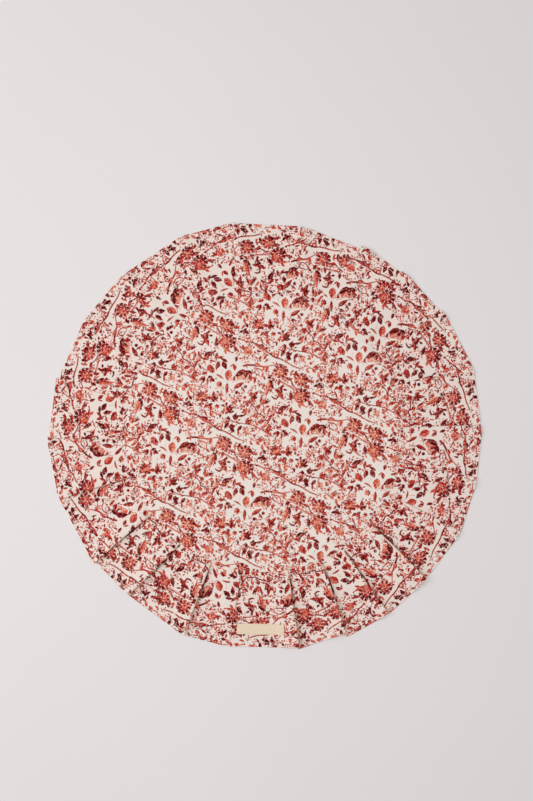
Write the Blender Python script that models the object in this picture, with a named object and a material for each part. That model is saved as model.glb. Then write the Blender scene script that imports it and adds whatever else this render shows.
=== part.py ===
"""Round cotton placemat: a centre panel, a frill laid in knife pleats round it, and a small label.

Metres, +Z up. The mat lies flat on Z = 0 with its outline's middle on the origin, and the label is
towards -Y. Angles are compass-like: degrees clockwise from +Y, seen from above.
"""

import math
from collections import namedtuple

import bmesh
import bpy
import numpy as np

MM = 0.001

# Cloth
SHEET = 1.0 * MM  # thickness of the frill's cloth
LAYER_GAP = 0.3 * MM  # air between two folded layers
PIECE_GAP = 0.3 * MM  # air between two pieces that touch

# Centre panel
SEAM_RADIUS = 139.0 * MM  # the seam between the centre panel and the frill
PANEL_MIDDLE = 1.6 * MM  # thickness over most of the panel
PANEL_RIDGE = 2.5 * MM  # thickness where it lies over the frill's seam allowance
RIDGE_INSET = 6.0 * MM  # how far the ridge lies inside the seam
RIDGE_WIDTH = 26.0 * MM  # how far the ridge takes to fade towards the middle
PANEL_EDGE_DROP = 1.0 * MM  # the panel's top rolls down by this much into the seam
PANEL_SIDES = 120

# Frill
FRILL_START = SEAM_RADIUS + PIECE_GAP
FRILL_RINGS = 6  # rows of points from seam to rim
CREASE_RADIUS = (SHEET + LAYER_GAP) / 2  # of the cloth's middle, round a fold
CREASE_STEPS = 4  # segments round each fold
GROUND = SHEET / 2  # height of the cloth's middle where it lies on the table
STACKED = GROUND + 4 * CREASE_RADIUS  # the same for the top one of three layers
TUCK_START = 1.0 * MM  # the cloth lies flat this far before a fold
CREASE_CLEAR = 1.3 * MM  # the top layer stays up this far past the hidden fold
FALL = 13.0 * MM  # and then comes down over this distance, where there is room
FALL_STEPS = 3
FALL_LEAST = 4.0 * MM

# One row for each pleat, clockwise. The visible fold runs from seam_at to rim_at (degrees), and the
# cloth is tucked under it by seam_tuck at the seam and rim_tuck at the rim (mm). Between this fold
# and the next the frill is one flat panel, whose straight outer edge faces the direction faces
# (degrees) at the distance reach from the panel's centre (mm). The fold stands off the layers under
# it by mid_lift half way out and by rim_lift at the rim (mm).
Pleat = namedtuple("Pleat", "seam_at rim_at seam_tuck rim_tuck faces reach mid_lift rim_lift")
PLEATS = [
    Pleat(8.1, 10.7, 14.5, 1.0, 21.5, 206.0, 0.1, 0.2),
    Pleat(23.3, 28.1, 18.5, 7.0, 36.4, 209.9, 0.1, 0.6),
    Pleat(39.3, 40.8, 16.0, 7.0, 47.8, 212.1, 0.1, 0.3),
    Pleat(56.3, 55.6, 14.5, 2.8, 62.6, 215.5, 0.0, 0.1),
    Pleat(70.8, 72.3, 15.5, 2.0, 82.6, 215.9, 0.0, 0.1),
    Pleat(88.2, 88.2, 13.5, 4.0, 95.8, 216.4, 0.1, 0.2),
    Pleat(102.8, 102.1, 12.8, 4.0, 107.4, 217.6, 0.2, 0.4),
    Pleat(116.5, 116.8, 14.0, 1.2, 127.2, 217.4, 0.3, 0.6),
    Pleat(130.7, 132.2, 18.0, 9.0, 137.5, 218.0, 1.8, 2.6),
    Pleat(146.0, 145.6, 13.0, 1.6, 150.6, 219.0, 1.2, 1.6),
    Pleat(156.2, 157.8, 17.0, 8.5, 160.6, 215.8, 1.8, 2.4),
    Pleat(170.3, 170.8, 18.0, 4.4, 181.2, 214.3, 2.4, 3.0),
    Pleat(189.5, 189.5, 8.5, 1.0, 194.4, 216.0, 0.0, 0.0),
    Pleat(202.4, 201.6, 14.5, 1.2, 216.5, 210.9, 2.2, 1.8),
    Pleat(217.4, 220.0, 14.0, 8.0, 224.0, 210.2, 2.6, 3.2),
    Pleat(234.3, 232.5, 15.5, 1.0, 242.0, 211.5, 1.6, 1.8),
    Pleat(252.0, 252.0, 17.0, 1.0, 259.0, 214.0, 0.8, 1.2),
    Pleat(267.6, 268.7, 17.5, 3.0, 276.8, 212.5, 0.3, 0.6),
    Pleat(283.2, 284.8, 16.0, 1.0, 293.4, 209.4, 0.2, 0.4),
    Pleat(298.6, 301.2, 15.5, 1.8, 310.0, 209.7, 0.2, 0.3),
    Pleat(315.1, 317.7, 12.8, 1.0, 326.2, 209.2, 0.1, 0.2),
    Pleat(332.6, 336.4, 16.5, 1.0, 345.0, 210.7, 0.1, 0.2),
    Pleat(349.3, 352.0, 12.8, 1.0, 2.8, 207.6, 0.0, 0.2),
]

# Label
LABEL_LENGTH = 47.0 * MM
LABEL_WIDTH = 10.5 * MM
LABEL_THICKNESS = 0.7 * MM
LABEL_OUT = 196.5 * MM  # from the panel's centre
LABEL_AT = 181.0  # degrees
LABEL_TURN = -1.2  # degrees, anticlockwise from above
LABEL_LIFT = 0.4 * MM  # air between it and the sloping cloth under it
LABEL_COLUMNS = 16
LABEL_ROWS = 3

# Colour, roughness and metallic value of each piece
FINISHES = {
    "centre_panel": ((0.70, 0.45, 0.40, 1.0), 0.9, 0.0),
    "frill": ((0.68, 0.42, 0.37, 1.0), 0.9, 0.0),
    "label": ((0.76, 0.68, 0.49, 1.0), 0.85, 0.0),
}


def direction(degrees):
    """The unit vector on the table that a clockwise angle from +Y points along."""
    turn = math.radians(degrees)
    return np.array([math.sin(turn), math.cos(turn)])


def smooth(t):
    """0 to 1 with level ends."""
    t = min(max(t, 0.0), 1.0)
    return t * t * (3 - 2 * t)


def mix(start, end, t):
    return start + (end - start) * t


def next_fold(number, out):
    """Where the fold after pleat number lies, in degrees past 360 where the ring closes."""
    following = PLEATS[(number + 1) % len(PLEATS)]
    angle = mix(following.seam_at, following.rim_at, out)
    return angle + 360 if number == len(PLEATS) - 1 else angle


def ring_radius(out):
    """The usual radius of the row of points at the share out of the way from seam to rim."""
    return mix(FRILL_START, 213.5 * MM, out)


def fold_height(pleat, out):
    """Height of the cloth's middle along a visible fold: a curve through both lifts."""
    middle, rim = pleat.mid_lift * MM, pleat.rim_lift * MM
    return STACKED + (4 * middle - rim) * out + (2 * rim - 4 * middle) * out * out


def tuck(pleat, out):
    return mix(pleat.seam_tuck, pleat.rim_tuck, out) * MM


def tucked_profile(depth, height):
    """Points (along, up) from the hidden fold round to the visible one, which is at along = 0.

    The cloth turns up round a circle at the hidden fold, runs back to a second circle along their
    common tangent, and turns over it at the visible fold.
    """
    radius = CREASE_RADIUS
    rise = height - GROUND - 2 * radius
    span = math.hypot(depth, rise)
    turn = math.atan2(rise, -depth) + math.asin(min(1.0, 2 * radius / span))
    hidden, visible = [], []
    for i in range(CREASE_STEPS + 1):
        angle = turn * i / CREASE_STEPS
        across, up = radius * math.sin(angle), radius * (1 - math.cos(angle))
        hidden.append((depth + across, GROUND + up))
        visible.insert(0, (-across, height - up))
    halfway = tuple(mix(a, b, 0.5) for a, b in zip(hidden[-1], visible[0]))
    return hidden, halfway, visible


def fall_length(number, out):
    """How far the top layer takes to come down, so that it lies flat before the next fold."""
    pleat = PLEATS[number]
    here = mix(pleat.seam_at, pleat.rim_at, out)
    room = math.radians(next_fold(number, out) - here) * ring_radius(out)
    return max(FALL_LEAST, min(FALL, room - tuck(pleat, out) - CREASE_CLEAR - 2 * TUCK_START))


def top_height(number, along, out):
    """Height of the cloth's middle on the flat panel after a fold, along metres past that fold."""
    pleat = PLEATS[number]
    shelf = tuck(pleat, out) + CREASE_CLEAR
    if along <= shelf:
        return mix(fold_height(pleat, out), STACKED, smooth(along / shelf))
    return mix(STACKED, GROUND, smooth((along - shelf) / fall_length(number, out)))


def pleat_profile(number, out):
    """Points (along, up, own) of one pleat.

    own says whose outer edge the point follows: 0 for the panel before the fold and 1 for the
    panel after it. The hidden layers draw back to the latter, so that the folded edges are flush.
    """
    pleat = PLEATS[number]
    depth = tuck(pleat, out)
    hidden, halfway, visible = tucked_profile(depth, fold_height(pleat, out))
    points = [(-TUCK_START, GROUND, 0.0), (depth / 2, GROUND, 0.7)]
    points += [(*place, 1.0) for place in [*hidden, halfway, *visible]]
    shelf = depth + CREASE_CLEAR
    points.append((shelf / 2, top_height(number, shelf / 2, out), 1.0))
    for i in range(FALL_STEPS + 1):
        along = shelf + fall_length(number, out) * i / FALL_STEPS
        points.append((along, top_height(number, along, out), 1.0))
    return points


def rim_radius(pleat, degrees):
    """How far out the straight edge of a pleat's flat panel lies in a direction."""
    return pleat.reach * MM / math.cos(math.radians(degrees - pleat.faces))


def frill_point(number, along, up, own, out):
    """A point of the frill from its place in a pleat's profile."""
    pleat, before = PLEATS[number], PLEATS[number - 1]
    degrees = mix(pleat.seam_at, pleat.rim_at, out) + math.degrees(along / ring_radius(out))
    rim = mix(rim_radius(before, degrees), rim_radius(pleat, degrees), own)
    x, y = direction(degrees) * mix(FRILL_START, rim, out)
    return (x, y, up)


def offset_profile(points, distance):
    """The inner points of a profile moved sideways by distance, to the left of its way along."""
    step = np.diff(points, axis=0)
    step /= np.linalg.norm(step, axis=1)[:, None]
    normals = np.stack([-step[:, 1], step[:, 0]], axis=1)
    corner = normals[:-1] + normals[1:]
    corner /= (corner * normals[1:]).sum(axis=1)[:, None]
    return points[1:-1] + corner * distance


def ring_profile(out):
    """The whole frill's profile at one ring: (pleat number, along, up, own) for each point."""
    return [
        (number, *point)
        for number in range(len(PLEATS))
        for point in pleat_profile(number, out)
    ]


def ring_points(out, side):
    """Points of the cloth's upper (side 1) or lower (side -1) face at one ring."""
    rows = ring_profile(out)
    radius = ring_radius(out)
    starts = [
        math.radians(mix(PLEATS[n].seam_at, PLEATS[n].rim_at, out)) * radius for n, *_ in rows
    ]
    way = np.array([(start + row[1], row[2]) for start, row in zip(starts, rows)])
    whole = 2 * math.pi * radius
    longer = np.concatenate([way[-1:] - (whole, 0), way, way[:1] + (whole, 0)])
    moved = offset_profile(longer, side * SHEET / 2)
    return [
        frill_point(row[0], x - start, z, row[3], out)
        for (x, z), start, row in zip(moved, starts, rows)
    ]


def finish_mesh(name, vertices, faces):
    """A new object from points and faces, shaded smooth and in its own material."""
    mesh = bpy.data.meshes.new(name)
    body = bmesh.new()
    corners = [body.verts.new(v) for v in vertices]
    for face in faces:
        body.faces.new([corners[i] for i in face])
    bmesh.ops.triangulate(body, faces=body.faces[:])
    bmesh.ops.recalc_face_normals(body, faces=body.faces[:])
    body.to_mesh(mesh)
    body.free()
    mesh.shade_smooth()
    mesh.set_sharp_from_angle(angle=math.radians(50))
    colour, roughness, metallic = FINISHES[name]
    material = bpy.data.materials.new(name)
    material.use_nodes = True
    shader = material.node_tree.nodes["Principled BSDF"]
    shader.inputs["Base Color"].default_value = colour
    shader.inputs["Roughness"].default_value = roughness
    shader.inputs["Metallic"].default_value = metallic
    mesh.materials.append(material)
    made = bpy.data.objects.new(name, mesh)
    bpy.context.collection.objects.link(made)
    return made


def panel_top(radius):
    """Height of the centre panel's upper face: a low ridge over the seam allowance."""
    inset = SEAM_RADIUS - radius
    if inset < RIDGE_INSET:
        return PANEL_RIDGE - PANEL_EDGE_DROP * (1 - smooth(inset / RIDGE_INSET))
    return mix(PANEL_RIDGE, PANEL_MIDDLE, smooth((inset - RIDGE_INSET) / RIDGE_WIDTH))


def make_centre_panel():
    """The round panel: a turned section with a flat underside."""
    insets = [0.0, 0.5, 1.5, 3.5, RIDGE_INSET / MM, 13.0, 21.0, 32.0, 80.0]
    profile = [(SEAM_RADIUS - inset * MM, panel_top(SEAM_RADIUS - inset * MM)) for inset in insets]
    vertices = []
    for radius, up in [(SEAM_RADIUS, 0.0), *profile]:
        for i in range(PANEL_SIDES):
            x, y = direction(360 * i / PANEL_SIDES) * radius
            vertices.append((x, y, up))
    faces = []
    for row in range(len(profile)):
        for i in range(PANEL_SIDES):
            j = (i + 1) % PANEL_SIDES
            low, high = row * PANEL_SIDES, (row + 1) * PANEL_SIDES
            faces.append((low + i, low + j, high + j, high + i))
    vertices.append((0.0, 0.0, profile[-1][1]))
    vertices.append((0.0, 0.0, 0.0))
    top, bottom = len(vertices) - 2, len(vertices) - 1
    last = len(profile) * PANEL_SIDES
    for i in range(PANEL_SIDES):
        j = (i + 1) % PANEL_SIDES
        faces.append((last + i, last + j, top))
        faces.append((j, i, bottom))
    return finish_mesh("centre_panel", vertices, faces)


def make_frill():
    """The pleated strip: a loop of upper and lower points at each ring, closed at seam and rim."""
    vertices = []
    for ring in range(FRILL_RINGS):
        out = ring / (FRILL_RINGS - 1)
        vertices += ring_points(out, 1)
        vertices += ring_points(out, -1)
    count = len(vertices) // (2 * FRILL_RINGS)
    faces = []
    for i in range(count):
        j = (i + 1) % count
        for ring in range(FRILL_RINGS - 1):
            upper, lower = 2 * ring * count, (2 * ring + 1) * count
            outer_upper, outer_lower = upper + 2 * count, lower + 2 * count
            faces.append((upper + i, upper + j, outer_upper + j, outer_upper + i))
            faces.append((lower + j, lower + i, outer_lower + i, outer_lower + j))
        rim = 2 * (FRILL_RINGS - 1) * count
        faces.append((i, count + i, count + j, j))
        faces.append((rim + j, rim + count + j, rim + count + i, rim + i))
    return finish_mesh("frill", vertices, faces)


def frill_top(x, y, number):
    """Height of the frill's upper face at a place on the flat panel after fold number."""
    pleat = PLEATS[number]
    degrees = math.degrees(math.atan2(x, y)) % 360
    rim = rim_radius(pleat, degrees)
    out = (math.hypot(x, y) - FRILL_START) / (rim - FRILL_START)
    fold = mix(pleat.seam_at, pleat.rim_at, out)
    along = math.radians(degrees - fold) * ring_radius(out)
    return top_height(number, along, out) + SHEET / 2


def make_label():
    """A thin strip that follows the cloth under it."""
    number = max(i for i, pleat in enumerate(PLEATS) if pleat.seam_at < LABEL_AT)
    middle = direction(LABEL_AT) * LABEL_OUT
    turn = math.radians(LABEL_TURN)
    along = np.array([math.cos(turn), math.sin(turn)])
    across = np.array([-math.sin(turn), math.cos(turn)])
    vertices = []
    for level in (LABEL_LIFT, LABEL_LIFT + LABEL_THICKNESS):
        for row in range(LABEL_ROWS + 1):
            for column in range(LABEL_COLUMNS + 1):
                place = middle + along * LABEL_LENGTH * (column / LABEL_COLUMNS - 0.5)
                place = place + across * LABEL_WIDTH * (row / LABEL_ROWS - 0.5)
                vertices.append((*place, frill_top(*place, number) + level))
    wide = LABEL_COLUMNS + 1
    layer = wide * (LABEL_ROWS + 1)
    faces = []
    for row in range(LABEL_ROWS):
        for column in range(LABEL_COLUMNS):
            a = row * wide + column
            faces.append((a, a + wide, a + wide + 1, a + 1))
            faces.append((layer + a, layer + a + 1, layer + a + wide + 1, layer + a + wide))
    near = list(range(wide))
    right = [row * wide + LABEL_COLUMNS for row in range(1, LABEL_ROWS)]
    far = [LABEL_ROWS * wide + column for column in reversed(range(wide))]
    left = [row * wide for row in range(LABEL_ROWS - 1, 0, -1)]
    border = near + right + far + left
    for a, b in zip(border, border[1:] + border[:1]):
        faces.append((a, b, layer + b, layer + a))
    return finish_mesh("label", vertices, faces)


def centre_on_origin(pieces):
    """Moves the pieces so that the middle of the mat's outline is on the origin."""
    points = np.array([v.co for piece in pieces for v in piece.data.vertices])
    middle = (points.min(axis=0) + points.max(axis=0)) / 2
    for piece in pieces:
        for vertex in piece.data.vertices:
            vertex.co.x -= middle[0]
            vertex.co.y -= middle[1]


def main():
    for old in list(bpy.data.objects):
        bpy.data.objects.remove(old, do_unlink=True)
    centre_on_origin([make_centre_panel(), make_frill(), make_label()])


main()
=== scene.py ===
"""A round cotton placemat: printed centre panel, knife-pleated frill and woven label.

Lengths are millimetres, and turn into metres where a mesh is made. Angles round the mat are
compass-like: degrees clockwise from +Y, seen from above, about the centre panel's middle. Angles on
the print are degrees anticlockwise from the cloth's own u axis.
"""

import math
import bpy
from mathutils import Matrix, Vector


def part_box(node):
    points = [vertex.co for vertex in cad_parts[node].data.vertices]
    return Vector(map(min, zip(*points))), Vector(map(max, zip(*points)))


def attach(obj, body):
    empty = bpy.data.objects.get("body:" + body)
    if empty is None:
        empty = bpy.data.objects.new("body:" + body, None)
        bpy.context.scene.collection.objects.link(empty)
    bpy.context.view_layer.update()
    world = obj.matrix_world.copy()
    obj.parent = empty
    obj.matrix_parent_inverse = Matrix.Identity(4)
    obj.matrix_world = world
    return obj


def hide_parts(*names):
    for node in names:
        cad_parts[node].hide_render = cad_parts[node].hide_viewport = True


bl_info = {
    "name": "Pleated placemat",
    "version": (1, 0, 0),
    "blender": (4, 5, 0),
    "location": "View3D > Sidebar > Placemat",
    "description": "Dresses a round placemat with printed cotton, a pleated frill and a bare label",
    "category": "Object",
}

from collections import namedtuple
from functools import lru_cache
from itertools import product

import bpy
import numpy as np
from mathutils import Vector
from mathutils.bvhtree import BVHTree
from mathutils.geometry import delaunay_2d_cdt

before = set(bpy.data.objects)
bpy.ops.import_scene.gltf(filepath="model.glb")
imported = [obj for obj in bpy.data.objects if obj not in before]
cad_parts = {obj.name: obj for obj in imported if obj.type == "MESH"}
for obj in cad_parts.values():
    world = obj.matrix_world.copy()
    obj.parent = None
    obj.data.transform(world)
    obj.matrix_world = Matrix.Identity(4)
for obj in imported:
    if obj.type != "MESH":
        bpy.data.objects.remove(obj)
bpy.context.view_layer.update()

MM = 0.001


def node_middle(name):
    """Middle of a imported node's box on the table, in millimetres."""
    low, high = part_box(name)
    return np.array([(low.x + high.x) / 2, (low.y + high.y) / 2]) / MM


# Cloth and seam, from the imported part
AXIS = node_middle("centre_panel")
SEAM_RADIUS = (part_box("centre_panel")[1].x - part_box("centre_panel")[0].x) / 2 / MM
SEAM_GAP = 0.12  # between panel and frill, less than between the part's solids
FRILL_START = SEAM_RADIUS + SEAM_GAP
USUAL_RIM = 213.5
OUTERMOST = 224.0  # no rim lies this far out

# Centre panel's section, as in the part
PANEL_MIDDLE = 1.6
PANEL_RIDGE = 2.5
RIDGE_INSET = 6.0
RIDGE_WIDTH = 26.0
PUCKER_REACH = 9.0
PUCKER_ROWS = (1.5, 4.0)  # rows of points this far inside the seam carry the gathers
SEAM_STEP = 0.12  # the panel's edge lies this much higher than the frill's
PANEL_LOWERED = 0.1  # which leaves room for the unevenness
BELOW_RINGS = ((45, 10), (90, 20), (125, 36))  # points on its flat lower face: radius, how many

# Frill's folds, as in the part
CREASE_RADIUS = 0.65
CREASE_STEPS = 4
PRINT_WRAP = 1.9  # radians of the visible fold that the printed face covers
FOLD_SIDE = PRINT_WRAP * CREASE_RADIUS
GROUND = 0.5
STACKED = GROUND + 4 * CREASE_RADIUS
CREASE_CLEAR = 1.3
FALL = 13.0
FALL_LEAST = 4.0
FALL_CLEAR = 2.0  # the fall ends this far before the next fold
FOLD_ROWS = 8

# How far the dressed folds are pressed flat, as shares of the part's heights
GROUND_SEEN = 0.34
CALM = 0.53  # a fold that hardly lifts
FLAT_LIFT = 0.8  # a fold whose lifts add up to this lies flat
OPEN_LIFT = 3.2  # and one whose lifts add up to this stands open and keeps its height
AT_SEAM = 0.50
PRESSED = 14.0  # the seam holds the folds down over this width
CORNER_DRAW = 1.7  # how far a fold's outer corner is drawn in
CORNER_REACH = 8.0  # beside the fold, over this width
CORNER_FROM = 0.55  # and from this share of the way to the rim

# Waves all over the cloth, and more of them near the rim
WAVE_HEIGHT = 0.07
RIM_WAVE_HEIGHT = 0.10
RIM_WAVES_FROM = 175.0  # they begin this far out
RIM_WAVES_OVER = 35.0  # and grow over this width

# Painted shade at the folds: the cloth's colour is darkened where a raised fold shades it
GAP_DARK = 1.9  # under a fold the painted shade is darkest as far as this
GAP_SHADE = 2.8  # and the painted shade reaches as far as this
GAP_LEAST = 0.35  # share of that painted shade where a fold lies closer
GAP_WAVES = 15.0
FOLD_PAINTED_SHADE = (0.93, 0.84, 0.67)  # painted shade on a fold's edge: shade between two layers of cream cloth is warm
# painted shade in the gap under the next fold, and deeper painted shade in that gap towards the seam
GAP_PAINTED_SHADE = (0.82, 0.73, 0.58)
DEEP_PAINTED_SHADE = (0.14, 0.022, 0.04)

# Hem
HEM_FALL = 1.2  # the hem's step comes down over this width
STITCH_INSET = 0.7  # how far the hem's stitches lie inside its turned edge
STITCH_LENGTH = 2.4
STITCH_SIDE = (0.14, 0.24)  # the thread fades out over this, from its middle sideways
STITCH_END = (0.34, 0.40)  # and over this towards a stitch's ends, in stitches
THREAD_HEIGHT = 0.12
ONE_BAND = 0.314  # a wave texture's scale for one band in each millimetre

# One row for each pleat, clockwise, with the part's own values: the visible fold runs from seam_at to
# rim_at (degrees) and hides seam_tuck to rim_tuck of cloth under it; the panel after it ends in a
# straight edge that faces the direction faces, at the distance reach; the fold stands off the layers
# under it by mid_lift and rim_lift.
Pleat = namedtuple("Pleat", "seam_at rim_at seam_tuck rim_tuck faces reach mid_lift rim_lift")
PLEATS = [
    Pleat(8.1, 10.7, 14.5, 1.0, 21.5, 206.0, 0.1, 0.2),
    Pleat(23.3, 28.1, 18.5, 7.0, 36.4, 209.9, 0.1, 0.6),
    Pleat(39.3, 40.8, 16.0, 7.0, 47.8, 212.1, 0.1, 0.3),
    Pleat(56.3, 55.6, 14.5, 2.8, 62.6, 215.5, 0.0, 0.1),
    Pleat(70.8, 72.3, 15.5, 2.0, 82.6, 215.9, 0.0, 0.1),
    Pleat(88.2, 88.2, 13.5, 4.0, 95.8, 216.4, 0.1, 0.2),
    Pleat(102.8, 102.1, 12.8, 4.0, 107.4, 217.6, 0.2, 0.4),
    Pleat(116.5, 116.8, 14.0, 1.2, 127.2, 217.4, 0.3, 0.6),
    Pleat(130.7, 132.2, 18.0, 9.0, 137.5, 218.0, 1.8, 2.6),
    Pleat(146.0, 145.6, 13.0, 1.6, 150.6, 219.0, 1.2, 1.6),
    Pleat(156.2, 157.8, 17.0, 8.5, 160.6, 215.8, 1.8, 2.4),
    Pleat(170.3, 170.8, 18.0, 4.4, 181.2, 214.3, 2.4, 3.0),
    Pleat(189.5, 189.5, 8.5, 1.0, 194.4, 216.0, 0.0, 0.0),
    Pleat(202.4, 201.6, 14.5, 1.2, 216.5, 210.9, 2.2, 1.8),
    Pleat(217.4, 220.0, 14.0, 8.0, 224.0, 210.2, 2.6, 3.2),
    Pleat(234.3, 232.5, 15.5, 1.0, 242.0, 211.5, 1.6, 1.8),
    Pleat(252.0, 252.0, 17.0, 1.0, 259.0, 214.0, 0.8, 1.2),
    Pleat(267.6, 268.7, 17.5, 3.0, 276.8, 212.5, 0.3, 0.6),
    Pleat(283.2, 284.8, 16.0, 1.0, 293.4, 209.4, 0.2, 0.4),
    Pleat(298.6, 301.2, 15.5, 1.8, 310.0, 209.7, 0.2, 0.3),
    Pleat(315.1, 317.7, 12.8, 1.0, 326.2, 209.2, 0.1, 0.2),
    Pleat(332.6, 336.4, 16.5, 1.0, 345.0, 210.7, 0.1, 0.2),
    Pleat(349.3, 352.0, 12.8, 1.0, 2.8, 207.6, 0.0, 0.2),
]

# Print: one repeat on the cloth is this wide along u and this high along v
REPEAT = np.array([91.7, 91.5])
PANEL_REPEAT = np.array([91.70, 91.55])  # and as it lies on the centre panel
PANEL_U = (0.8067, -0.5909)  # where the cloth's u axis points on the centre panel
PANEL_V = (0.6154, 0.7882)  # and its v axis; the cloth lies slightly skewed
JOIN = 12  # the strip's two ends meet under this pleat's fold
JOIN_U = 20.0  # print phase there
HEM_LINE = 265.0  # the print's height that the rim follows
THREAD_LEAN = 1.2  # degrees between the rim and the cloth's thread

# Print as a mesh
TILE_GRID = 7.2  # the print's open ground has a point about this often
STRAIGHT = 0.11  # an outline point this near to the line past it is left out
MEET = 0.03  # points on the tile's border this close become one
SNAP = 0.012  # a point nearer than this to a cut counts as on it
TOUCH = 1e-3  # outline points nearer than this are one
FINE_TOUCH = 1e-5  # and so are points of a cloth's border this near
HAIR = 0.01  # lines this near to a border count as on it

# Inks
INKS = "gpscbm"  # ground, pale blush, shell, coral, brick, maroon
SPRIG_INKS = ("scb", "csb", "csc", "sbc")
ETCHED = (0.64, 0.24, 0.21, 1.0)  # what finer lines leave of an ink's colour
PLAIN_DEPTH = ((1.0, 1.0, 1.0), (1.0, 1.0, 1.0), (1.0, 1.0, 1.0))
# Painted shade on the frill: its inks and bare ground are made deeper than the panel's, for the shade among
# its layers and folds
FRILL_SHADE_DEPTH = ((1.0, 0.92, 0.89), (1.08, 1.10, 1.03), (0.995, 0.962, 0.950))
FRILL_SHADE_LEAN = 0.40  # painted shade: the frill's inks lean this far towards the next darker one

# Kinds of face without the chart: cut edge, wrong side, and right side inside a fold
EDGE, BACK, FOLDED = -1, -2, -3

# Columns of a flat panel's points: how far inside its four edges they lie
SEAM, RIM, FOLD, NEXT = 4, 5, 6, 7

# Cutting the panels, and their maps
SPARE_CLOTH = 1.12  # the skewed print is laid this much wider than the seam, and cut
SPARE_TURN = 8.0  # and this many degrees past a flat panel at both sides
CLOTH_UNIT = 100.0  # millimetres of cloth in one unit of its map
MAP_SPAN = 2.02  # side of the map for baked colours, in times the cloth's reach
SHARP_ANGLE = 60.0

# Motifs: where an outline has points along its rib, as shares of its length
PETAL_STEPS = np.array([0.0, 0.16, 0.5, 0.8, 0.95, 1.0])
LEAF_STEPS = np.array([0.0, 0.2, 0.45, 0.74, 1.0])
BUD_STEPS = np.array([0.0, 0.3, 0.7, 1.0])
SEED_STEPS = np.array([0.0, 0.4, 1.0])
LONG_LEAF = 5.0  # a leaf up to this length has a bud's points
LONG_BUD = 3.2  # and one up to this has a seed's
TWO_INKS = 4.0  # a leaf up to this length has one ink
FULLER = (1.06, 1.22)  # leaves print a little longer and wider than their chart
SEEDS = 60
SEED_SPREAD = (0.7549, 0.5698)  # steps that spread points evenly over a square

# Leaves strewn over the ground by the material
LEAF_PITCH = (3.4, 3.2, 3.6)  # their cell sizes, for each of their inks
STREWN_LENGTH = 0.40  # half a strewn leaf's length, in cells
STREWN_WIDTH = 0.16
THICKEST = 0.46  # share of the small leaves that are there in the middle of a thicket
THICKET_HEART = 0.45  # share of a thicket's reach that is as thick as its middle
FOLD_STREWN = 0.7  # share of them that is there on the cloth inside the folds

# Label
LABEL_OUT = 196.5
LABEL_AT = 181.0
LABEL_TURN = -1.2
LABEL_LIFT = 0.15
LABEL_COLUMNS = 60
LABEL_ROWS = 14
LABEL_SLANT = 0.5  # the left end is cut this much off square
LABEL_TURNED = 4.5  # how much tape is turned under at each end
LABEL_STITCHED = 2.2  # the seam that holds it lies this far in
LABEL_FOLD = 0.2  # the turned ends lie this much higher
LABEL_DIP = 0.14  # and the seam draws them down by this
LABEL_ROUND = 0.18  # the tape's edges are this much lower

# Stage
VIEW_SIZE = (533.0, 801.0)  # the photograph's frame covers this much of the table
VIEW_MIDDLE = (1.9, 35.1)
TABLE_SIZE = 60.0  # metres
WINDOW_PLACE = (-1.45, 0.12, 1.25)  # lamps: places and sizes in metres
WINDOW_SIZE = 1.3
CEILING_PLACE = (-0.06, 0.02, 1.35)
CEILING_SIZE = 0.7
ROOM_TINT = (1.0, 0.985, 0.985, 1.0)


def shaded_inks(heading, shade, deep, light):
    """A petal's two inks: deepest where it heads towards shade, and palest where it heads away."""
    dark = math.cos(math.radians(heading - shade))
    return "bm" if dark > deep else "cb" if dark > light else "sc"


def rib_steps(length, blunt):
    """Where along its rib a leaf or petal has points: fewer on a small one."""
    if blunt:
        return PETAL_STEPS
    return LEAF_STEPS if length > LONG_LEAF else BUD_STEPS if length > LONG_BUD else SEED_STEPS


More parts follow.
